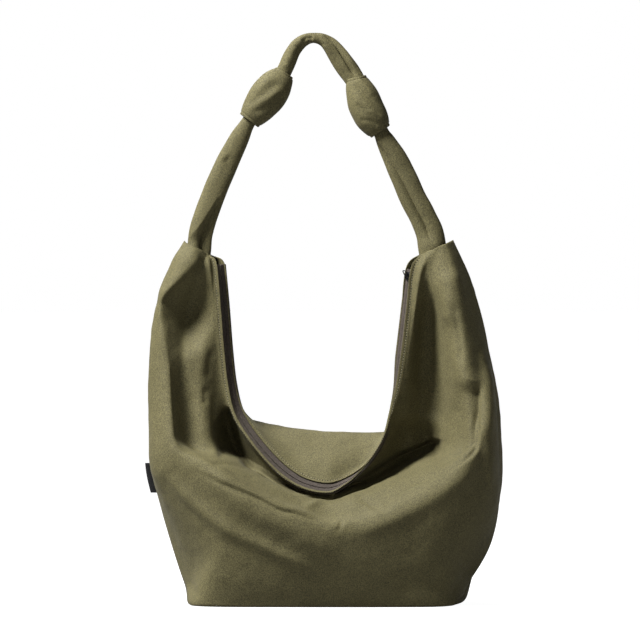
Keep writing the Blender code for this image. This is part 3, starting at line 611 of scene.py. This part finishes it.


# Colour, darker colour between the yarns, sheen, pitch of the weave and strength of its relief and crumple
# Needle holes: near-black colours, painted shade of the holes where the thread goes into the cloth
HOLE_SHADE_COLOUR, HOLE_SHADE_DARK = (0.006, 0.005, 0.003), (0.004, 0.003, 0.002)
OUTER = cloth_material("outer_cloth", (0.107, 0.094, 0.040), (0.062, 0.054, 0.022), 0.03, 1.0 * MM)
LINING_CLOTH = cloth_material("lining_cloth", (0.12, 0.11, 0.075), (0.08, 0.073, 0.05), 0.1, 0.8 * MM)
ZIP_TAPE = cloth_material("zip_tape", (0.06, 0.047, 0.037), (0.032, 0.025, 0.02), 0.05, 0.7 * MM, 0.5, 0.1)
LABEL = cloth_material("label", (0.004, 0.004, 0.005), (0.002, 0.002, 0.003), 0.0, 0.6 * MM, soft=0.1)
THREAD = cloth_material("thread", (0.26, 0.235, 0.14), (0.2, 0.18, 0.1), 0.2, 0.3 * MM, soft=0.0)
# Material of the needle-hole discs: painted shade, not a colour of the cloth
NEEDLE_HOLE_SHADE = cloth_material("needle_hole_shade", HOLE_SHADE_COLOUR, HOLE_SHADE_DARK, 0.0, 0.3 * MM, soft=0.0)
COIL = hard_material("zip_coil", (0.05, 0.038, 0.03), 0.5, 0.0)
BLACK_METAL = hard_material("zip_metal", (0.018, 0.018, 0.02), 0.34, 1.0)
BOARD = hard_material("board", (0.05, 0.05, 0.05), 0.6, 0.0)


# ---------------------------------------------------------------- panels

def hem_profile(distance):
    """Height of the doubled, topstitched hem at each distance from the neckline's edge."""
    d = distance / MM
    doubled = HEM_RISE / (1 + np.exp((d - HEM_WIDTH) * HEM_SHARPNESS))
    stitched = -STITCH_DIP * np.exp(-((d - STITCH_FROM_EDGE / MM) ** 2))
    return (doubled + stitched) * MM


def edge_distances(points):
    """Distance along the cloth from the sheet's last column, for each point."""
    return walked_grid(points[:, ::-1], 1)[:, ::-1]


def row_at(points, distance):
    """The line on the sheet at one distance from its last column."""
    walked = edge_distances(points)[:, ::-1]
    lines = zip(points[:, ::-1], walked)
    return np.array([[np.interp(distance, far, line[:, k]) for k in range(3)] for line, far in lines])


def stitches(name, line, outward):
    """A row of thread stitches along a line on the cloth, with flat near-black discs between them as painted
    shade of the needle holes.
    """
    walked = walked_along(line)
    count = int(walked[-1] // (STITCH_PITCH / 2))
    at = (np.arange(count) + 0.5) * STITCH_PITCH / 2
    spots = read_at(at, walked, line)
    ahead = read_at(at + 0.5 * MM, walked, line)
    ups = unit(read_at(at, walked, outward))
    runs = unit(ahead - spots)
    sides = unit(np.cross(ups, runs))
    points, faces, dark = [], [], []
    n = STITCH_SIDES
    for number, (spot, run, up, side) in enumerate(zip(spots, runs, ups, sides)):
        # Every second bead is a flat near-black disc: painted shade of a needle hole
        hole = number % 2
        long, wide, rise = (HOLE_LONG, HOLE_WIDE, 0.1) if hole else (STITCH_LONG, STITCH_WIDE, 0.6)
        first = len(points)
        for along, fat, high in STITCH_RINGS:
            centre = spot + run * along * long + up * (rise + high) * STITCH_LIFT
            if fat == 0.0:
                points.append(centre)
                continue
            for k in range(n):
                angle = math.tau * k / n
                around = math.cos(angle) * side + 0.7 * math.sin(angle) * up
                points.append(centre + fat * wide / 2 * around)
        ring, last = first + 1, first + 1 + 3 * n
        for k in range(n):
            after = (k + 1) % n
            faces.append((first, ring + after, ring + k))
            for a in (ring, ring + n):
                faces.append((a + k, a + after, a + n + after, a + n + k))
            faces.append((last, ring + 2 * n + k, ring + 2 * n + after))
            dark += [hole] * 4
    made = mesh_object(name, points, faces, THREAD)
    # Second material: painted shade on the needle-hole discs
    made.data.materials.append(NEEDLE_HOLE_SHADE)
    made.data.polygons.foreach_set("material_index", dark)
    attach(made, "bag")


# Folds: (x, z) line in mm over the front view, width, height, kind, and the part of the way across the cloth
# from the side seam (0) to the neckline (1)
FRONT_FOLDS = [
    # left horn
    ([(-201, 356), (-186, 372), (-165, 392), (-143, 417)], 8, 3.0, "lap", (0.0, 0.75)),
    ([(-189, 335), (-181, 298), (-174, 268), (-170, 232), (-165, 196), (-156, 166)], 11, 4.5, "valley",
     (0.0, 0.75)),
    ([(-134, 306), (-137, 290), (-138, 268)], 4, 1.6, "valley", (0.2, 0.9)),
    ([(-139, 262), (-142, 250), (-141, 236)], 4, 1.4, "valley", (0.2, 0.9)),
    ([(-131, 252), (-131, 222), (-130, 203)], 2.4, 2.4, "valley", (0.2, 0.95)),
    # left shelf
    ([(-160, 166), (-138, 158), (-114, 146), (-78, 131), (-53, 118), (-33, 113), (-9, 105), (12, 94),
     (19, 92)], 4.0, 2.4, "lap", (0.1, 0.8)),
    ([(-158, 182), (-126, 148), (-84, 118), (-40, 96), (-4, 70), (12, 52), (6, 38)], 14, 4.5, "ridge",
     (0.0, 0.6)),
    ([(-204, 172), (-180, 150), (-155, 124), (-113, 92), (-65, 70), (-17, 46), (-8, 34), (-12, 26)], 7, 4.0,
     "ridge", (0.0, 0.6)),
    ([(-140, 168), (-118, 170), (-94, 166), (-70, 158)], 3.0, 2.0, "valley", (0.3, 0.9)),
    # right shelf
    ([(20, 84), (60, 96), (110, 118), (160, 150), (186, 180)], 10, 3.5, "ridge", (0.0, 0.8)),
    ([(36, 134), (58, 121), (70, 117), (82, 128)], 4, 2.2, "valley", (0.2, 0.9)),
    # right horn
    ([(152, 366), (156, 350), (160, 320), (163, 280)], 4.5, 2.4, "valley", (0.0, 0.7)),
    ([(160, 273), (172, 267), (184, 261), (186, 238), (181, 212), (179, 194), (166, 182), (148, 170),
     (139, 161)], 4.5, 2.4, "lap", (0.0, 0.9)),
    ([(184, 246), (186, 228), (185, 205), (178, 182), (155, 163), (131, 152), (108, 143), (84, 131)], 4.0,
     3.2, "lap", (0.0, 0.9)),
    ([(-31, 115), (-8, 124), (19, 132), (52, 143)], 4.5, 2.2, "ridge", (0.1, 0.95)),
    ([(17, 90), (19, 98), (22, 106)], 2.6, 1.6, "valley", (0.1, 0.9)),
    ([(193, 292), (197, 262), (196, 226), (192, 196)], 7, 3.0, "ridge", (0.0, 0.6)),
    ([(122, 371), (120, 316), (116, 244)], 10, 5, "valley", (0.3, 0.9)),
    ([(150, 405), (152, 365), (153, 328)], 11, 4, "ridge", (0.1, 0.7)),
    # base corners
    ([(172, 40), (163, 32), (156, 22), (150, 8)], 1.8, 2.0, "valley", (0.0, 0.35)),
    ([(-164, 30), (-156, 18), (-149, 9)], 4, 3.0, "valley", (0.0, 0.3)),
    ([(150, 20), (120, 30), (80, 26)], 12, 2.5, "valley", (0.0, 0.3)),
]
# The back's own folds: two slack diagonals from the horns and shallow creases over the base
BACK_FOLDS = [
    ([(-190, 330), (-170, 250), (-120, 170), (-60, 130)], 14, 5, "valley", (0.0, 0.7)),
    ([(190, 320), (172, 250), (130, 180), (70, 140)], 14, 5, "valley", (0.0, 0.7)),
    ([(-180, 170), (-120, 110), (-50, 70), (10, 60)], 12, 4.5, "ridge", (0.0, 0.6)),
    ([(184, 150), (130, 96), (76, 74), (40, 80)], 10, 4, "ridge", (0.0, 0.6)),
    ([(-100, 150), (-20, 120), (60, 132)], 7, 2.4, "valley", (0.1, 0.8)),
    ([(-164, 30), (-156, 18), (-149, 9)], 3, 2.0, "valley", (0.0, 0.3)),
    ([(167, 34), (162, 22), (152, 9)], 3, 2.0, "valley", (0.0, 0.3)),
]
# Hollows of the front: (x, z) outline, depth and softness in mm. A negative depth stands out.
HOLLOWS = [
    ([(-141, 417), (-160, 400), (-198, 360), (-190, 335), (-172, 312), (-154, 312), (-144, 350)], 11, 19),
    ([(-131, 203), (-130, 216), (-122, 230), (-113, 233), (-105, 226), (-94, 212), (-80, 197), (-63, 182),
     (-46, 167), (-30, 152), (6, 142), (6, 130), (-36, 136), (-53, 145), (-76, 161), (-101, 174),
     (-124, 177)], 24, 3),
    ([(-6, 144), (26, 149), (52, 168), (70, 188), (84, 216), (112, 214), (132, 206), (141, 192), (139, 176),
     (115, 172), (91, 165), (64, 151), (36, 139), (14, 131), (-6, 130)], 17, 14),
    ([(14, 139), (40, 149), (64, 163), (90, 178), (112, 187), (130, 195), (140, 194), (141, 182), (137, 175),
     (115, 172), (91, 165), (64, 151), (36, 139), (14, 131)], 20, 3),
    ([(122, 380), (132, 364), (136, 310), (138, 230), (134, 190), (112, 190), (106, 240), (110, 300)], 8, 10),
    ([(160, 262), (184, 256), (186, 222), (178, 192), (164, 186), (156, 230)], 8, 8),
    ([(178, 42), (168, 35), (153, 27), (148, 13), (150, -4), (180, -4)], 6, 2.5),
    ([(190, 300), (203, 290), (207, 240), (206, 180), (199, 150), (190, 180), (191, 240)], -9, 8),
]


def panel(name, lines, flip, folds, seed, hollows=()):
    points = whole_sheet(lines)
    if hollows:
        kept = np.clip((edge_distances(points) - HOLLOW_FROM) / HOLLOW_OVER, 0, 1)
        kept *= np.clip(np.linspace(0, HOLLOW_SEAM, points.shape[1]), 0, 1)
        for outline, depth, soft in hollows:
            press(points, outline, depth, soft, kept)
        points = relax(points, HOLLOW_ROUNDING)
    normals = grid_normals(points, flip)
    lift = np.zeros(points.shape[:2])
    for entry in folds:
        lift += fold(points, *entry)
    lift += BULGE * smooth_noise(points * np.array(BULGE_STRETCH), BULGE_SIZE, seed)
    lift += RIPPLE * smooth_noise(points, RIPPLE_SIZE, seed + 1)
    distance = edge_distances(points)
    quiet = np.clip(distance / HEM_FADE, HEM_LEAST, 1.0)
    rim = np.minimum(np.arange(points.shape[1]) / SEAM_FADE, 1.0)[None, :]
    lift = lift * quiet * rim + hem_profile(distance)
    points = points + lift[..., None] * normals
    return grid_object(name, points, flip, SHELL, OUTER), points


def neck_stitching(name, points, flip):
    """Topstitching close beside the neckline's edge."""
    line = row_at(points, STITCH_FROM_EDGE)
    normals = grid_normals(points, flip)[:, -5]
    inner = slice(ALONG_STEPS // 2, -ALONG_STEPS // 2)
    stitches(name, line[inner], normals[inner])


def panels():
    front, front_points = panel("front_cloth", front_lines(), True, FRONT_FOLDS, 3, HOLLOWS)
    back, back_points = panel("back_cloth", back_lines(), False, BACK_FOLDS, 8)
    belongs(front, "bag", "front_panel")
    belongs(back, "bag", "back_panel")
    neck_stitching("front_topstitch", front_points, True)
    neck_stitching("back_topstitch", back_points, False)


def linings():
    """Linings and slip pocket: parts of the panels' lofts between feature lines, set inward."""
    front, back = front_lines(), back_lines()
    stations = np.linspace(5.0, 15.0, 121)
    side = sheet_grid(front, stations, np.linspace(0.75, 1.0, 4))
    valley, under = (spline(np.arange(STATIONS), front[row], stations) for row in (4, 6))
    stretches = [side]
    for start, end, shares in (
        (side[:, -1], valley, np.linspace(0.1, 1.0, 12)),
        (valley, under, np.linspace(0.1, 0.3, 3)),
    ):
        stretches.append(np.stack([start + share * (end - start) for share in shares], axis=1))
    whole_back = sheet_grid(back, stations, np.linspace(0.55, 5.6, 50))
    pocket = sheet_grid(back, np.linspace(8.7, 11.5, 40), np.linspace(0.9, 2.0, 24))
    sheets = [
        ("front_lining_cloth", np.concatenate(stretches, axis=1), True, LINING_INSET, "front_lining"),
        ("back_lining_cloth", whole_back, False, LINING_INSET, "back_lining"),
        ("pocket_cloth", pocket, False, POCKET_INSET, "inner_pocket"),
    ]
    for name, points, is_front, inset, replaced in sheets:
        if is_front:
            for outline, depth, soft in HOLLOWS:
                press(points, outline, max(depth, 0.0), soft, 1.0)
        points = points - inset * grid_normals(points, is_front)
        slack = LINING_SLACK * smooth_noise(points, LINING_SLACK_SIZE, 5)
        points = points + slack[..., None] * grid_normals(points, is_front)
        made = grid_object(name, points, is_front, LINING, LINING_CLOTH)
        belongs(made, "bag", replaced)


def base_bulge(stations, shares):
    """How far the base panel's boxed right corner stands out along X, front to back."""
    rise = BOXED_CORNER * np.clip(1 - np.abs(stations - BASE_RIGHT + BOXED_STATIONS) / BOXED_STATIONS, 0, 1)
    return rise[:, None] * np.sin(math.pi * shares)[None]


def base():
    """Base panel with its turned-up ends, and the base lining."""
    stations = np.linspace(BASE_LEFT + 0.02, BASE_RIGHT - 0.02, 181)
    knots = np.arange(STATIONS)
    front = spline(knots, front_lines()[0], stations)
    back = spline(knots, back_seam(), stations)
    toward = unit(back - front)
    width = np.linalg.norm(back - front, axis=1, keepdims=True)
    tuck = np.minimum(BASE_TUCK, width * 0.25)
    front, back = front + tuck * toward, back - tuck * toward
    shares = np.linspace(0.0, 1.0, 41)
    points = front[:, None] + shares[None, :, None] * (back - front)[:, None]
    points[..., 0] += base_bulge(stations, shares)
    made = grid_object("base_cloth", points, False, SHELL, OUTER)
    belongs(made, "bag", "base_panel")
    low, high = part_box("base_lining")
    xs, ys = np.linspace(low[0], high[0], 60), np.linspace(low[1], high[1], 30)
    grid = np.stack(np.meshgrid(xs, ys, indexing="ij"), axis=-1)
    points = np.concatenate([grid, np.full(grid.shape[:2] + (1,), high[2])], axis=2)
    points[..., 2] += 0.15 * MM * smooth_noise(points, 25 * MM, 2)
    made = grid_object("base_lining_cloth", points, True, LINING, LINING_CLOTH)
    belongs(made, "bag", "base_lining")


# ---------------------------------------------------------------- zip

def zip_parts():
    stations = np.linspace(ZIP_START + 0.01, ZIP_END - 0.06, ZIP_POINTS)
    middle, _, normal, side = zip_frames(stations)
    narrow = TAPE_OUTER - TAPE_TUCK * up_the_horns(stations, *TAPE_TURN)
    for name, sign, outer in (("front", -1, narrow), ("back", 1, np.full(ZIP_POINTS, TAPE_OUTER))):
        reach = TAPE_INNER + (outer - TAPE_INNER)[:, None] * np.linspace(0, 1, 13)
        wave = TAPE_WAVE * np.sin(np.arange(ZIP_POINTS) * TAPE_WAVE_TURN)[:, None]
        wave = wave * np.exp(-((reach - TAPE_INNER) / TAPE_WAVE_REACH) ** 2)
        points = middle[:, None] + sign * reach[..., None] * side[:, None] + wave[..., None] * normal[:, None]
        tape = grid_object(f"tape_{name}", points, name == "back", TAPE, ZIP_TAPE, offset=0.0)
        belongs(tape, "bag", f"zip_tape_{name}")
        inner = slice(COIL_SHORTER, -COIL_SHORTER)
        line = (middle + sign * COIL_OFFSET * side + COIL_DEPTH * normal)[inner]
        walked = walked_along(line)
        at = np.linspace(0, walked[-1], int(walked[-1] / COIL_PITCH * COIL_TURN_STEPS))
        centre, up, across = (read_at(at, walked, values) for values in (line, normal[inner], side[inner]))
        angle = math.tau * at / COIL_PITCH + (0 if sign < 0 else math.pi)
        bend = COIL_BEND * COIL_RADIUS
        round_it = np.cos(angle)[:, None] * across * COIL_FLATTER + np.sin(angle)[:, None] * up
        coil = wire_object(f"coil_{name}", centre + bend * round_it, COIL_WIRE, COIL, 1)
        belongs(coil, "bag", f"zip_coil_{name}")
    repainted = {"zip_stop_bottom": BLACK_METAL, "zip_stop_top": BLACK_METAL, "base_board": BOARD}
    for node_name, material in repainted.items():
        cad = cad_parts[node_name]
        cad.data.materials.clear()
        cad.data.materials.append(material)


def slider_frame():
    """The slider's middle, and its axes as columns: across, along and out of the zip."""
    line = zip_knots()
    _, _, out, _ = (row[0] for row in zip_frames(np.array([float(ZIP_END)])))
    run = unit(line[-1] - line[-4])
    out = unit(out - out @ run * run)
    return line[-1] - SLIDER_AT * run, np.stack([np.cross(run, out), run, out], axis=1)


def placed(spot, axes):
    return Matrix([(*axes[row], spot[row]) for row in range(3)] + [(0.0, 0.0, 0.0, 1.0)])


def plate(outline, low, high):
    """Points and faces of a plate with a stepped, rounded edge, from an outline and heights in mm."""
    outline = np.array(outline, float) * MM
    low, high = low * MM, high * MM
    centre = outline.mean(axis=0)
    soft = 0.35 * MM
    points, faces = [], []
    for z, shrink in ((low, soft), (low + soft, 0.0), (high - soft, 0.0), (high, soft)):
        rim = outline - unit(outline - centre) * shrink
        points += [(x, y, z) for x, y in rim]
    n = len(outline)
    for r in range(3):
        for k in range(n):
            a, b = r * n + k, r * n + (k + 1) % n
            faces.append((a, b, b + n, a + n))
    faces.append(tuple(range(n))[::-1])
    faces.append(tuple(range(3 * n, 4 * n)))
    return points, faces


def slider():
    """Shield-shaped plates over and under the tapes, a wedge between them and a bail for the pull."""
    shield = []
    for k in range(28):
        angle = math.tau * k / 28
        width = 4.4 - 1.3 * max(0.0, -math.sin(angle)) ** 2
        across = math.copysign(abs(math.cos(angle)) ** 0.7, math.cos(angle))
        shield.append((width * across, 5.5 * math.sin(angle)))
    wedge = [(-0.25, 0.8), (0.25, 0.8), (0.25, 5.0), (-0.25, 5.0)]
    pieces = [plate(shield, 0.75, 2.2), plate(shield, -4.7, -3.35), plate(wedge, -3.6, 1.0)]
    for sign in (-1, 1):
        bar = [(-0.9, 0.0), (0.9, 0.0), (0.9, sign * 1.2), (-0.9, sign * 1.2)]
        bar = [(x, y + sign * 1.9) for x, y in (bar if sign > 0 else bar[::-1])]
        pieces.append(plate(bar, 2.0, 4.6))
    roof = [(-1.0, -3.0), (1.0, -3.0), (1.0, 3.0), (-1.0, 3.0)]
    pieces.append(plate(roof, 4.0, 5.2))
    points, faces = [], []
    for some, sides in pieces:
        first = len(points)
        points += some
        faces += [tuple(first + i for i in face) for face in sides]
    made = mesh_object("slider", points, faces, BLACK_METAL, smooth=False)
    made.matrix_world = placed(*slider_frame())
    edge = made.modifiers.new("edge", "BEVEL")
    edge.width = 0.15 * MM
    edge.segments = 2
    belongs(made, "zip_slider", "zip_slider")


def pull():
    """A wire loop with round corners, raised a little from the zip."""
    spot, axes = slider_frame()
    left, right = PULL_CORNER - PULL_HALF, PULL_HALF - PULL_CORNER
    near, far = PULL_CORNER, PULL_REACH - PULL_CORNER
    points = []
    for cx, cy, start in ((right, near, -90), (right, far, 0), (left, far, 90), (left, near, 180)):
        for step in range(9):
            angle = math.radians(start + 90 * step / 8)
            points.append((cx + PULL_CORNER * math.cos(angle), cy + PULL_CORNER * math.sin(angle), 0.0))
    loop = wire_object("pull_loop", np.array(points), PULL_WIRE, BLACK_METAL, 4, closed=True)
    hinge = spot + PULL_HINGE * axes[:, 2]
    loop.matrix_world = placed(hinge, axes) @ Matrix.Rotation(math.radians(PULL_ANGLE), 4, "X")
    belongs(loop, "zip_pull", "zip_pull")


# ---------------------------------------------------------------- strap

# Centre (x, z), half width, half depth in mm and twist in degrees, from the horn up
LEG_LEFT = [
    (-151, 398, 12, 10, 0), (-151, 412, 14, 12, 0), (-149.5, 428, 14.5, 12, 0), (-148, 444, 14.5, 9.5, 0),
    (-142, 465, 14.2, 8.5, 0), (-134, 487, 14.2, 8.2, 0), (-119, 523, 13.8, 8, 0), (-101, 559, 11.6, 8, 0),
    (-91, 577, 8.6, 7, 0), (-76, 599, 8.5, 7, 0),
]
LEG_RIGHT = [
    (133, 398, 14, 10, 0), (131.5, 412, 16, 12, 0), (129.5, 428, 17, 12, 0), (127, 444, 16.6, 9.5, 0),
    (118, 465, 16, 8.5, 0), (106, 487, 15.8, 8.2, 0), (90.5, 523, 15.2, 8, 0), (74, 554, 11.6, 8, 0),
    (68.5, 565, 9, 7, 0), (57, 592, 8.5, 7, 0),
]
CROWN = [
    (-66, 612, 9, 7, 0), (-57, 625, 9.5, 7.5, 0), (-48, 638, 9.6, 7.5, 0), (-42, 652, 9.2, 7.5, 5),
    (-36, 664, 8.6, 7, 25), (-27, 674, 8.6, 6.4, 55), (-15, 678.5, 9, 6.2, 85), (-3, 677, 9.2, 6.2, 120),
    (8, 669.5, 10.4, 6.6, 150), (17, 657, 11.8, 7, 172), (26, 644, 12.8, 7.2, 180), (36, 630, 12, 7.2, 180),
    (46, 612, 11, 7, 180), (51, 604, 10.5, 7, 180),
]
COLLAR_LEFT = [
    (-90, 579, 13.2, 12), (-84, 587, 17, 16), (-75, 599, 20.8, 19.5), (-65.5, 611.5, 22, 20.5),
    (-57.5, 622.5, 20.2, 19), (-51, 631.5, 15.5, 15), (-47.5, 637, 11.6, 11),
]
COLLAR_RIGHT = [
    (68, 566, 13.2, 12), (63, 573.5, 17.2, 16.5), (55.5, 586, 20.4, 19.5), (49.5, 598, 20.6, 19.5),
    (45, 610.5, 19, 18), (41, 622, 15.4, 15), (38.6, 631, 11.6, 11),
]
# Half width and half depth of the hole through a knot
BORE = (10.6, 8.4)

def tube(path, steps, sides, fullness):
    """Grid (along, around, 3) of a soft tube that follows a strap path. Column 0 lies on its +across side."""
    path = np.array(path, float)
    values = spline(np.arange(len(path)), path, np.linspace(0, len(path) - 1, steps))
    for _ in range(steps // 6):
        values[1:-1] += 0.5 * ((values[2:] + values[:-2]) / 2 - values[1:-1])
    run = unit(np.gradient(values[:, :2], axis=0))
    across = np.stack([run[:, 1], np.zeros(steps), -run[:, 0]], axis=1)
    depth = np.array([0.0, 1.0, 0.0])
    centre = np.stack([values[:, 0], np.zeros(steps), values[:, 1]], axis=1) * MM
    twist = np.radians(values[:, 4]) if values.shape[1] > 4 else np.zeros(steps)
    wide = np.cos(twist)[:, None] * across + np.sin(twist)[:, None] * depth
    deep = -np.sin(twist)[:, None] * across + np.cos(twist)[:, None] * depth
    angle = math.tau * np.arange(sides) / sides
    c, s = (np.sign(turn) * np.abs(turn) ** (2 / fullness) for turn in (np.cos(angle), np.sin(angle)))
    w = (values[:, 2] * MM)[:, None] * c[None]
    d = (values[:, 3] * MM)[:, None] * s[None]
    return centre[:, None] + w[..., None] * wide[:, None] + d[..., None] * deep[:, None]


def tube_object(name, points, join=None):
    """Outer cloth from a grid that closes round each ring: capped, or joined where its points meet."""
    made = grid_object(name, points, False, 0.0, OUTER, closed=True)
    work = bmesh.new()
    work.from_mesh(made.data)
    work.verts.ensure_lookup_table()
    if join:
        bmesh.ops.remove_doubles(work, verts=work.verts, dist=join)
    else:
        steps, sides = points.shape[:2]
        for ring in (0, steps - 1):
            work.faces.new([work.verts[ring * sides + k] for k in range(sides)])
    bmesh.ops.recalc_face_normals(work, faces=work.faces)
    work.to_mesh(made.data)
    work.free()
    return made


def crumpled(points, height, scale, seed):
    """A tube with soft noise added along its outward normals."""
    around = np.roll(points, -1, axis=1) - np.roll(points, 1, axis=1)
    normals = unit(np.cross(around, np.gradient(points, axis=0)))
    centre = points.mean(axis=1, keepdims=True)
    normals *= np.sign(((points - centre) * normals).sum(axis=2, keepdims=True))
    return points + (height * smooth_noise(points, scale, seed))[..., None] * normals


def front_wrinkles(points, folds):
    """Moves the front half of a tube along its outward direction by wrinkles drawn over the front view."""
    centre = points.mean(axis=1, keepdims=True)
    lift = np.zeros(points.shape[:2])
    for entry in folds:
        lift += fold(points, *entry, ends=0.2)
    lift *= np.clip(-(points[..., 1] - centre[..., 1]) / (3 * MM), 0, 1)
    return points + lift[..., None] * unit(points - centre)


def leg(side, path, folds):
    """A strap leg: a crumpled, wrinkled tube from its sewn end at the horn up into the strap, in place of the
    CAD leg.
    """
    points = crumpled(tube(path, 150, 96, 2.2), 0.5 * MM, 22 * MM, 11)
    made = tube_object(f"strap_leg_{side}_cloth", front_wrinkles(points, folds))
    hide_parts(f"strap_leg_{side}")
    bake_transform(made)


def knot_hem(steps):
    """Lift of a knot's hem: a small lip at the edge and a stitched groove six steps in."""
    return 0.2 * MM * np.exp(-((steps / 3.0) ** 2)) - 0.6 * MM * np.exp(-(((steps - 6) / 1.2) ** 2))


def collar(side, path, folds):
    """A knot's wrap: cloth wound round the strap, hemmed and open at both ends."""
    outer = tube(path, 110, 96, 2.2)
    bore = [(x, z, *BORE) for x, z, _, _ in path]
    inner = tube(bore, 40, 96, 2.4)
    outer = crumpled(outer, 0.6 * MM, 16 * MM, 21 + len(side))
    outer = front_wrinkles(outer, folds)
    centre = outer.mean(axis=1, keepdims=True)
    steps = np.arange(len(outer))
    lift = knot_hem(steps) + knot_hem(steps[::-1])
    outer = outer + lift[:, None, None] * unit(outer - centre)
    points = np.concatenate([outer, inner[::-1], outer[:1]])
    made = tube_object(f"strap_knot_{side}_cloth", points, join=1e-7)
    belongs(made, "strap", f"strap_knot_{side}")


# Wrinkles of the knots and legs: (x, z) lines in mm over the front view, width, height and kind
LEFT_KNOT_FOLDS = [
    ([(-97, 598), (-82, 604), (-64, 618), (-48, 627)], 5.5, 1.3, "valley"),
    ([(-90, 589), (-72, 592), (-58, 601), (-45, 612)], 4.5, 1.2, "valley"),
    ([(-86, 613), (-74, 622), (-62, 632)], 4.0, 0.8, "ridge"),
    ([(-84, 598), (-66, 606), (-52, 617)], 4.0, 0.9, "ridge"),
]
RIGHT_KNOT_FOLDS = [
    ([(34, 600), (48, 590), (60, 576), (66, 566)], 3.6, 1.1, "valley"),
    ([(42, 580), (56, 578), (72, 571)], 2.6, 0.9, "valley"),
    ([(48, 590), (60, 588), (72, 580)], 2.4, 0.8, "ridge"),
    ([(34, 622), (48, 612), (62, 596), (70, 580)], 4.4, 1.1, "valley"),
    ([(38, 632), (50, 622), (60, 606)], 3.6, 0.8, "ridge"),
]
CROWN_FOLDS = [
    ([(-27, 672), (-20, 678), (-12, 677)], 3.4, 2.2, "valley"),
    ([(-11, 688), (-6, 679), (1, 666)], 3.4, 1.0, "valley"),
    ([(-2, 684), (12, 674), (21.6, 659), (31, 643), (40, 630)], 2.0, 3.6, "valley"),
    ([(6, 684), (20, 670), (30, 655), (38, 642)], 2.6, 1.0, "ridge"),
    ([(-34, 668), (-42, 652), (-47, 640)], 4.0, 1.0, "ridge"),
]
LEFT_LEG_FOLDS = [
    ([(-126, 490), (-138, 470), (-152, 450), (-168, 432)], 6.0, 12.0, "turn"),
    ([(-120, 536), (-112, 524), (-104, 518)], 5.0, 2.0, "valley"),
]
RIGHT_LEG_FOLDS = [
    ([(59, 560), (77, 530), (97, 496), (114, 464), (134, 430)], 5.5, 4.6, "valley"),
    ([(59, 560), (77, 530), (97, 496), (114, 464), (134, 430)], 3.2, 3.0, "lap"),
]


def strap():
    leg("left", LEG_LEFT, LEFT_LEG_FOLDS)
    leg("right", LEG_RIGHT, RIGHT_LEG_FOLDS)
    points = crumpled(tube(CROWN, 190, 120, 2.3), 0.5 * MM, 16 * MM, 4)
    crown = tube_object("strap_crown_cloth", front_wrinkles(points, CROWN_FOLDS))
    belongs(crown, "strap", "strap_crown")
    collar("left", COLLAR_LEFT, LEFT_KNOT_FOLDS)
    collar("right", COLLAR_RIGHT, RIGHT_KNOT_FOLDS)


# ---------------------------------------------------------------- label

def label():
    """A short black tape folded round the left side seam."""
    seam = spline(np.arange(STATIONS), front_lines()[0], np.linspace(*LABEL_STATIONS, 60))
    half = LABEL_HALF
    profile = [(LABEL_TUCKED, half)]
    for k in range(13):
        angle = math.pi / 2 + math.pi * k / 12
        profile.append((-LABEL_SHOWS + half + half * math.cos(angle), half * math.sin(angle)))
    profile.append((LABEL_TUCKED, -half))
    points = [[(x + dx, y + SEAM_GAP / 2 + dy, z) for dx, dy in profile] for x, y, z in seam]
    made = grid_object("side_label_tape", np.array(points), False, LABEL_TAPE, LABEL)
    belongs(made, "bag", "side_label")


# ---------------------------------------------------------------- stage

def studio_world():
    """A white band round the horizon, and a dim room above it."""
    world = bpy.data.worlds.new("studio")
    bpy.context.scene.world = world
    world.use_nodes = True
    tree = world.node_tree
    place = node(tree, "ShaderNodeTexCoord")
    split = node(tree, "ShaderNodeSeparateXYZ")
    tree.links.new(place.outputs["Generated"], split.inputs[0])
    strength = stretched(tree, split.outputs["Z"], 0.1, 0.2, 1.0, 0.07)
    fill(tree.nodes["Background"], Color=(1.0, 1.0, 1.0, 1.0), Strength=strength)


def stage():
    """Pale floor, a soft key from the upper left, a rim light and the camera."""
    low, high = (Vector(c) for c in (CAD_LOW, CAD_HIGH))
    centre = (low + high) / 2
    ends = (-FLOOR_HALF, FLOOR_HALF)
    grid = np.array([[(x, y, low.z) for y in ends] for x in ends])
    paper, tree, shader = new_material("paper")
    seen = node(tree, "ShaderNodeLightPath").outputs["Is Camera Ray"]
    glow = stretched(tree, seen, 0.0, 1.0, 0.05, 0.97)
    fill(shader, Base_Color=(0.2, 0.2, 0.2, 1.0), Roughness=0.9)
    fill(shader, Emission_Color=(1.0, 1.0, 1.0, 1.0), Emission_Strength=glow)
    floor = grid_object("floor", grid, True, 0.0, paper)
    floor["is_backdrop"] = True
    studio_world()
    for name, place, size, power in LAMPS:
        lamp = bpy.data.lights.new(name, "AREA")
        lamp.size = size
        lamp.energy = power
        holder = added(name, lamp)
        holder.location = centre + Vector(place)
        holder.rotation_euler = (-Vector(place)).to_track_quat("-Z", "Y").to_euler()
    camera = bpy.data.cameras.new("camera")
    camera.lens = CAMERA_LENS
    camera.sensor_width = CAMERA_SENSOR
    camera.clip_end = CAMERA_REACH
    eye = added("camera", camera)
    target = Vector((centre.x - AIM_LEFT, 0.0, centre.z - AIM_DOWN))
    rise = math.radians(CAMERA_RISE)
    back = Vector((0.0, -math.cos(rise), math.sin(rise)))
    eye.location = target + CAMERA_DISTANCE * back
    eye.rotation_euler = (-back).to_track_quat("-Z", "Y").to_euler()
    bpy.context.scene.camera = eye
    bpy.context.scene.view_settings.view_transform = "Standard"


panels()
linings()
base()
zip_parts()
slider()
pull()
strap()
label()
stage()

bpy.context.view_layer.update()
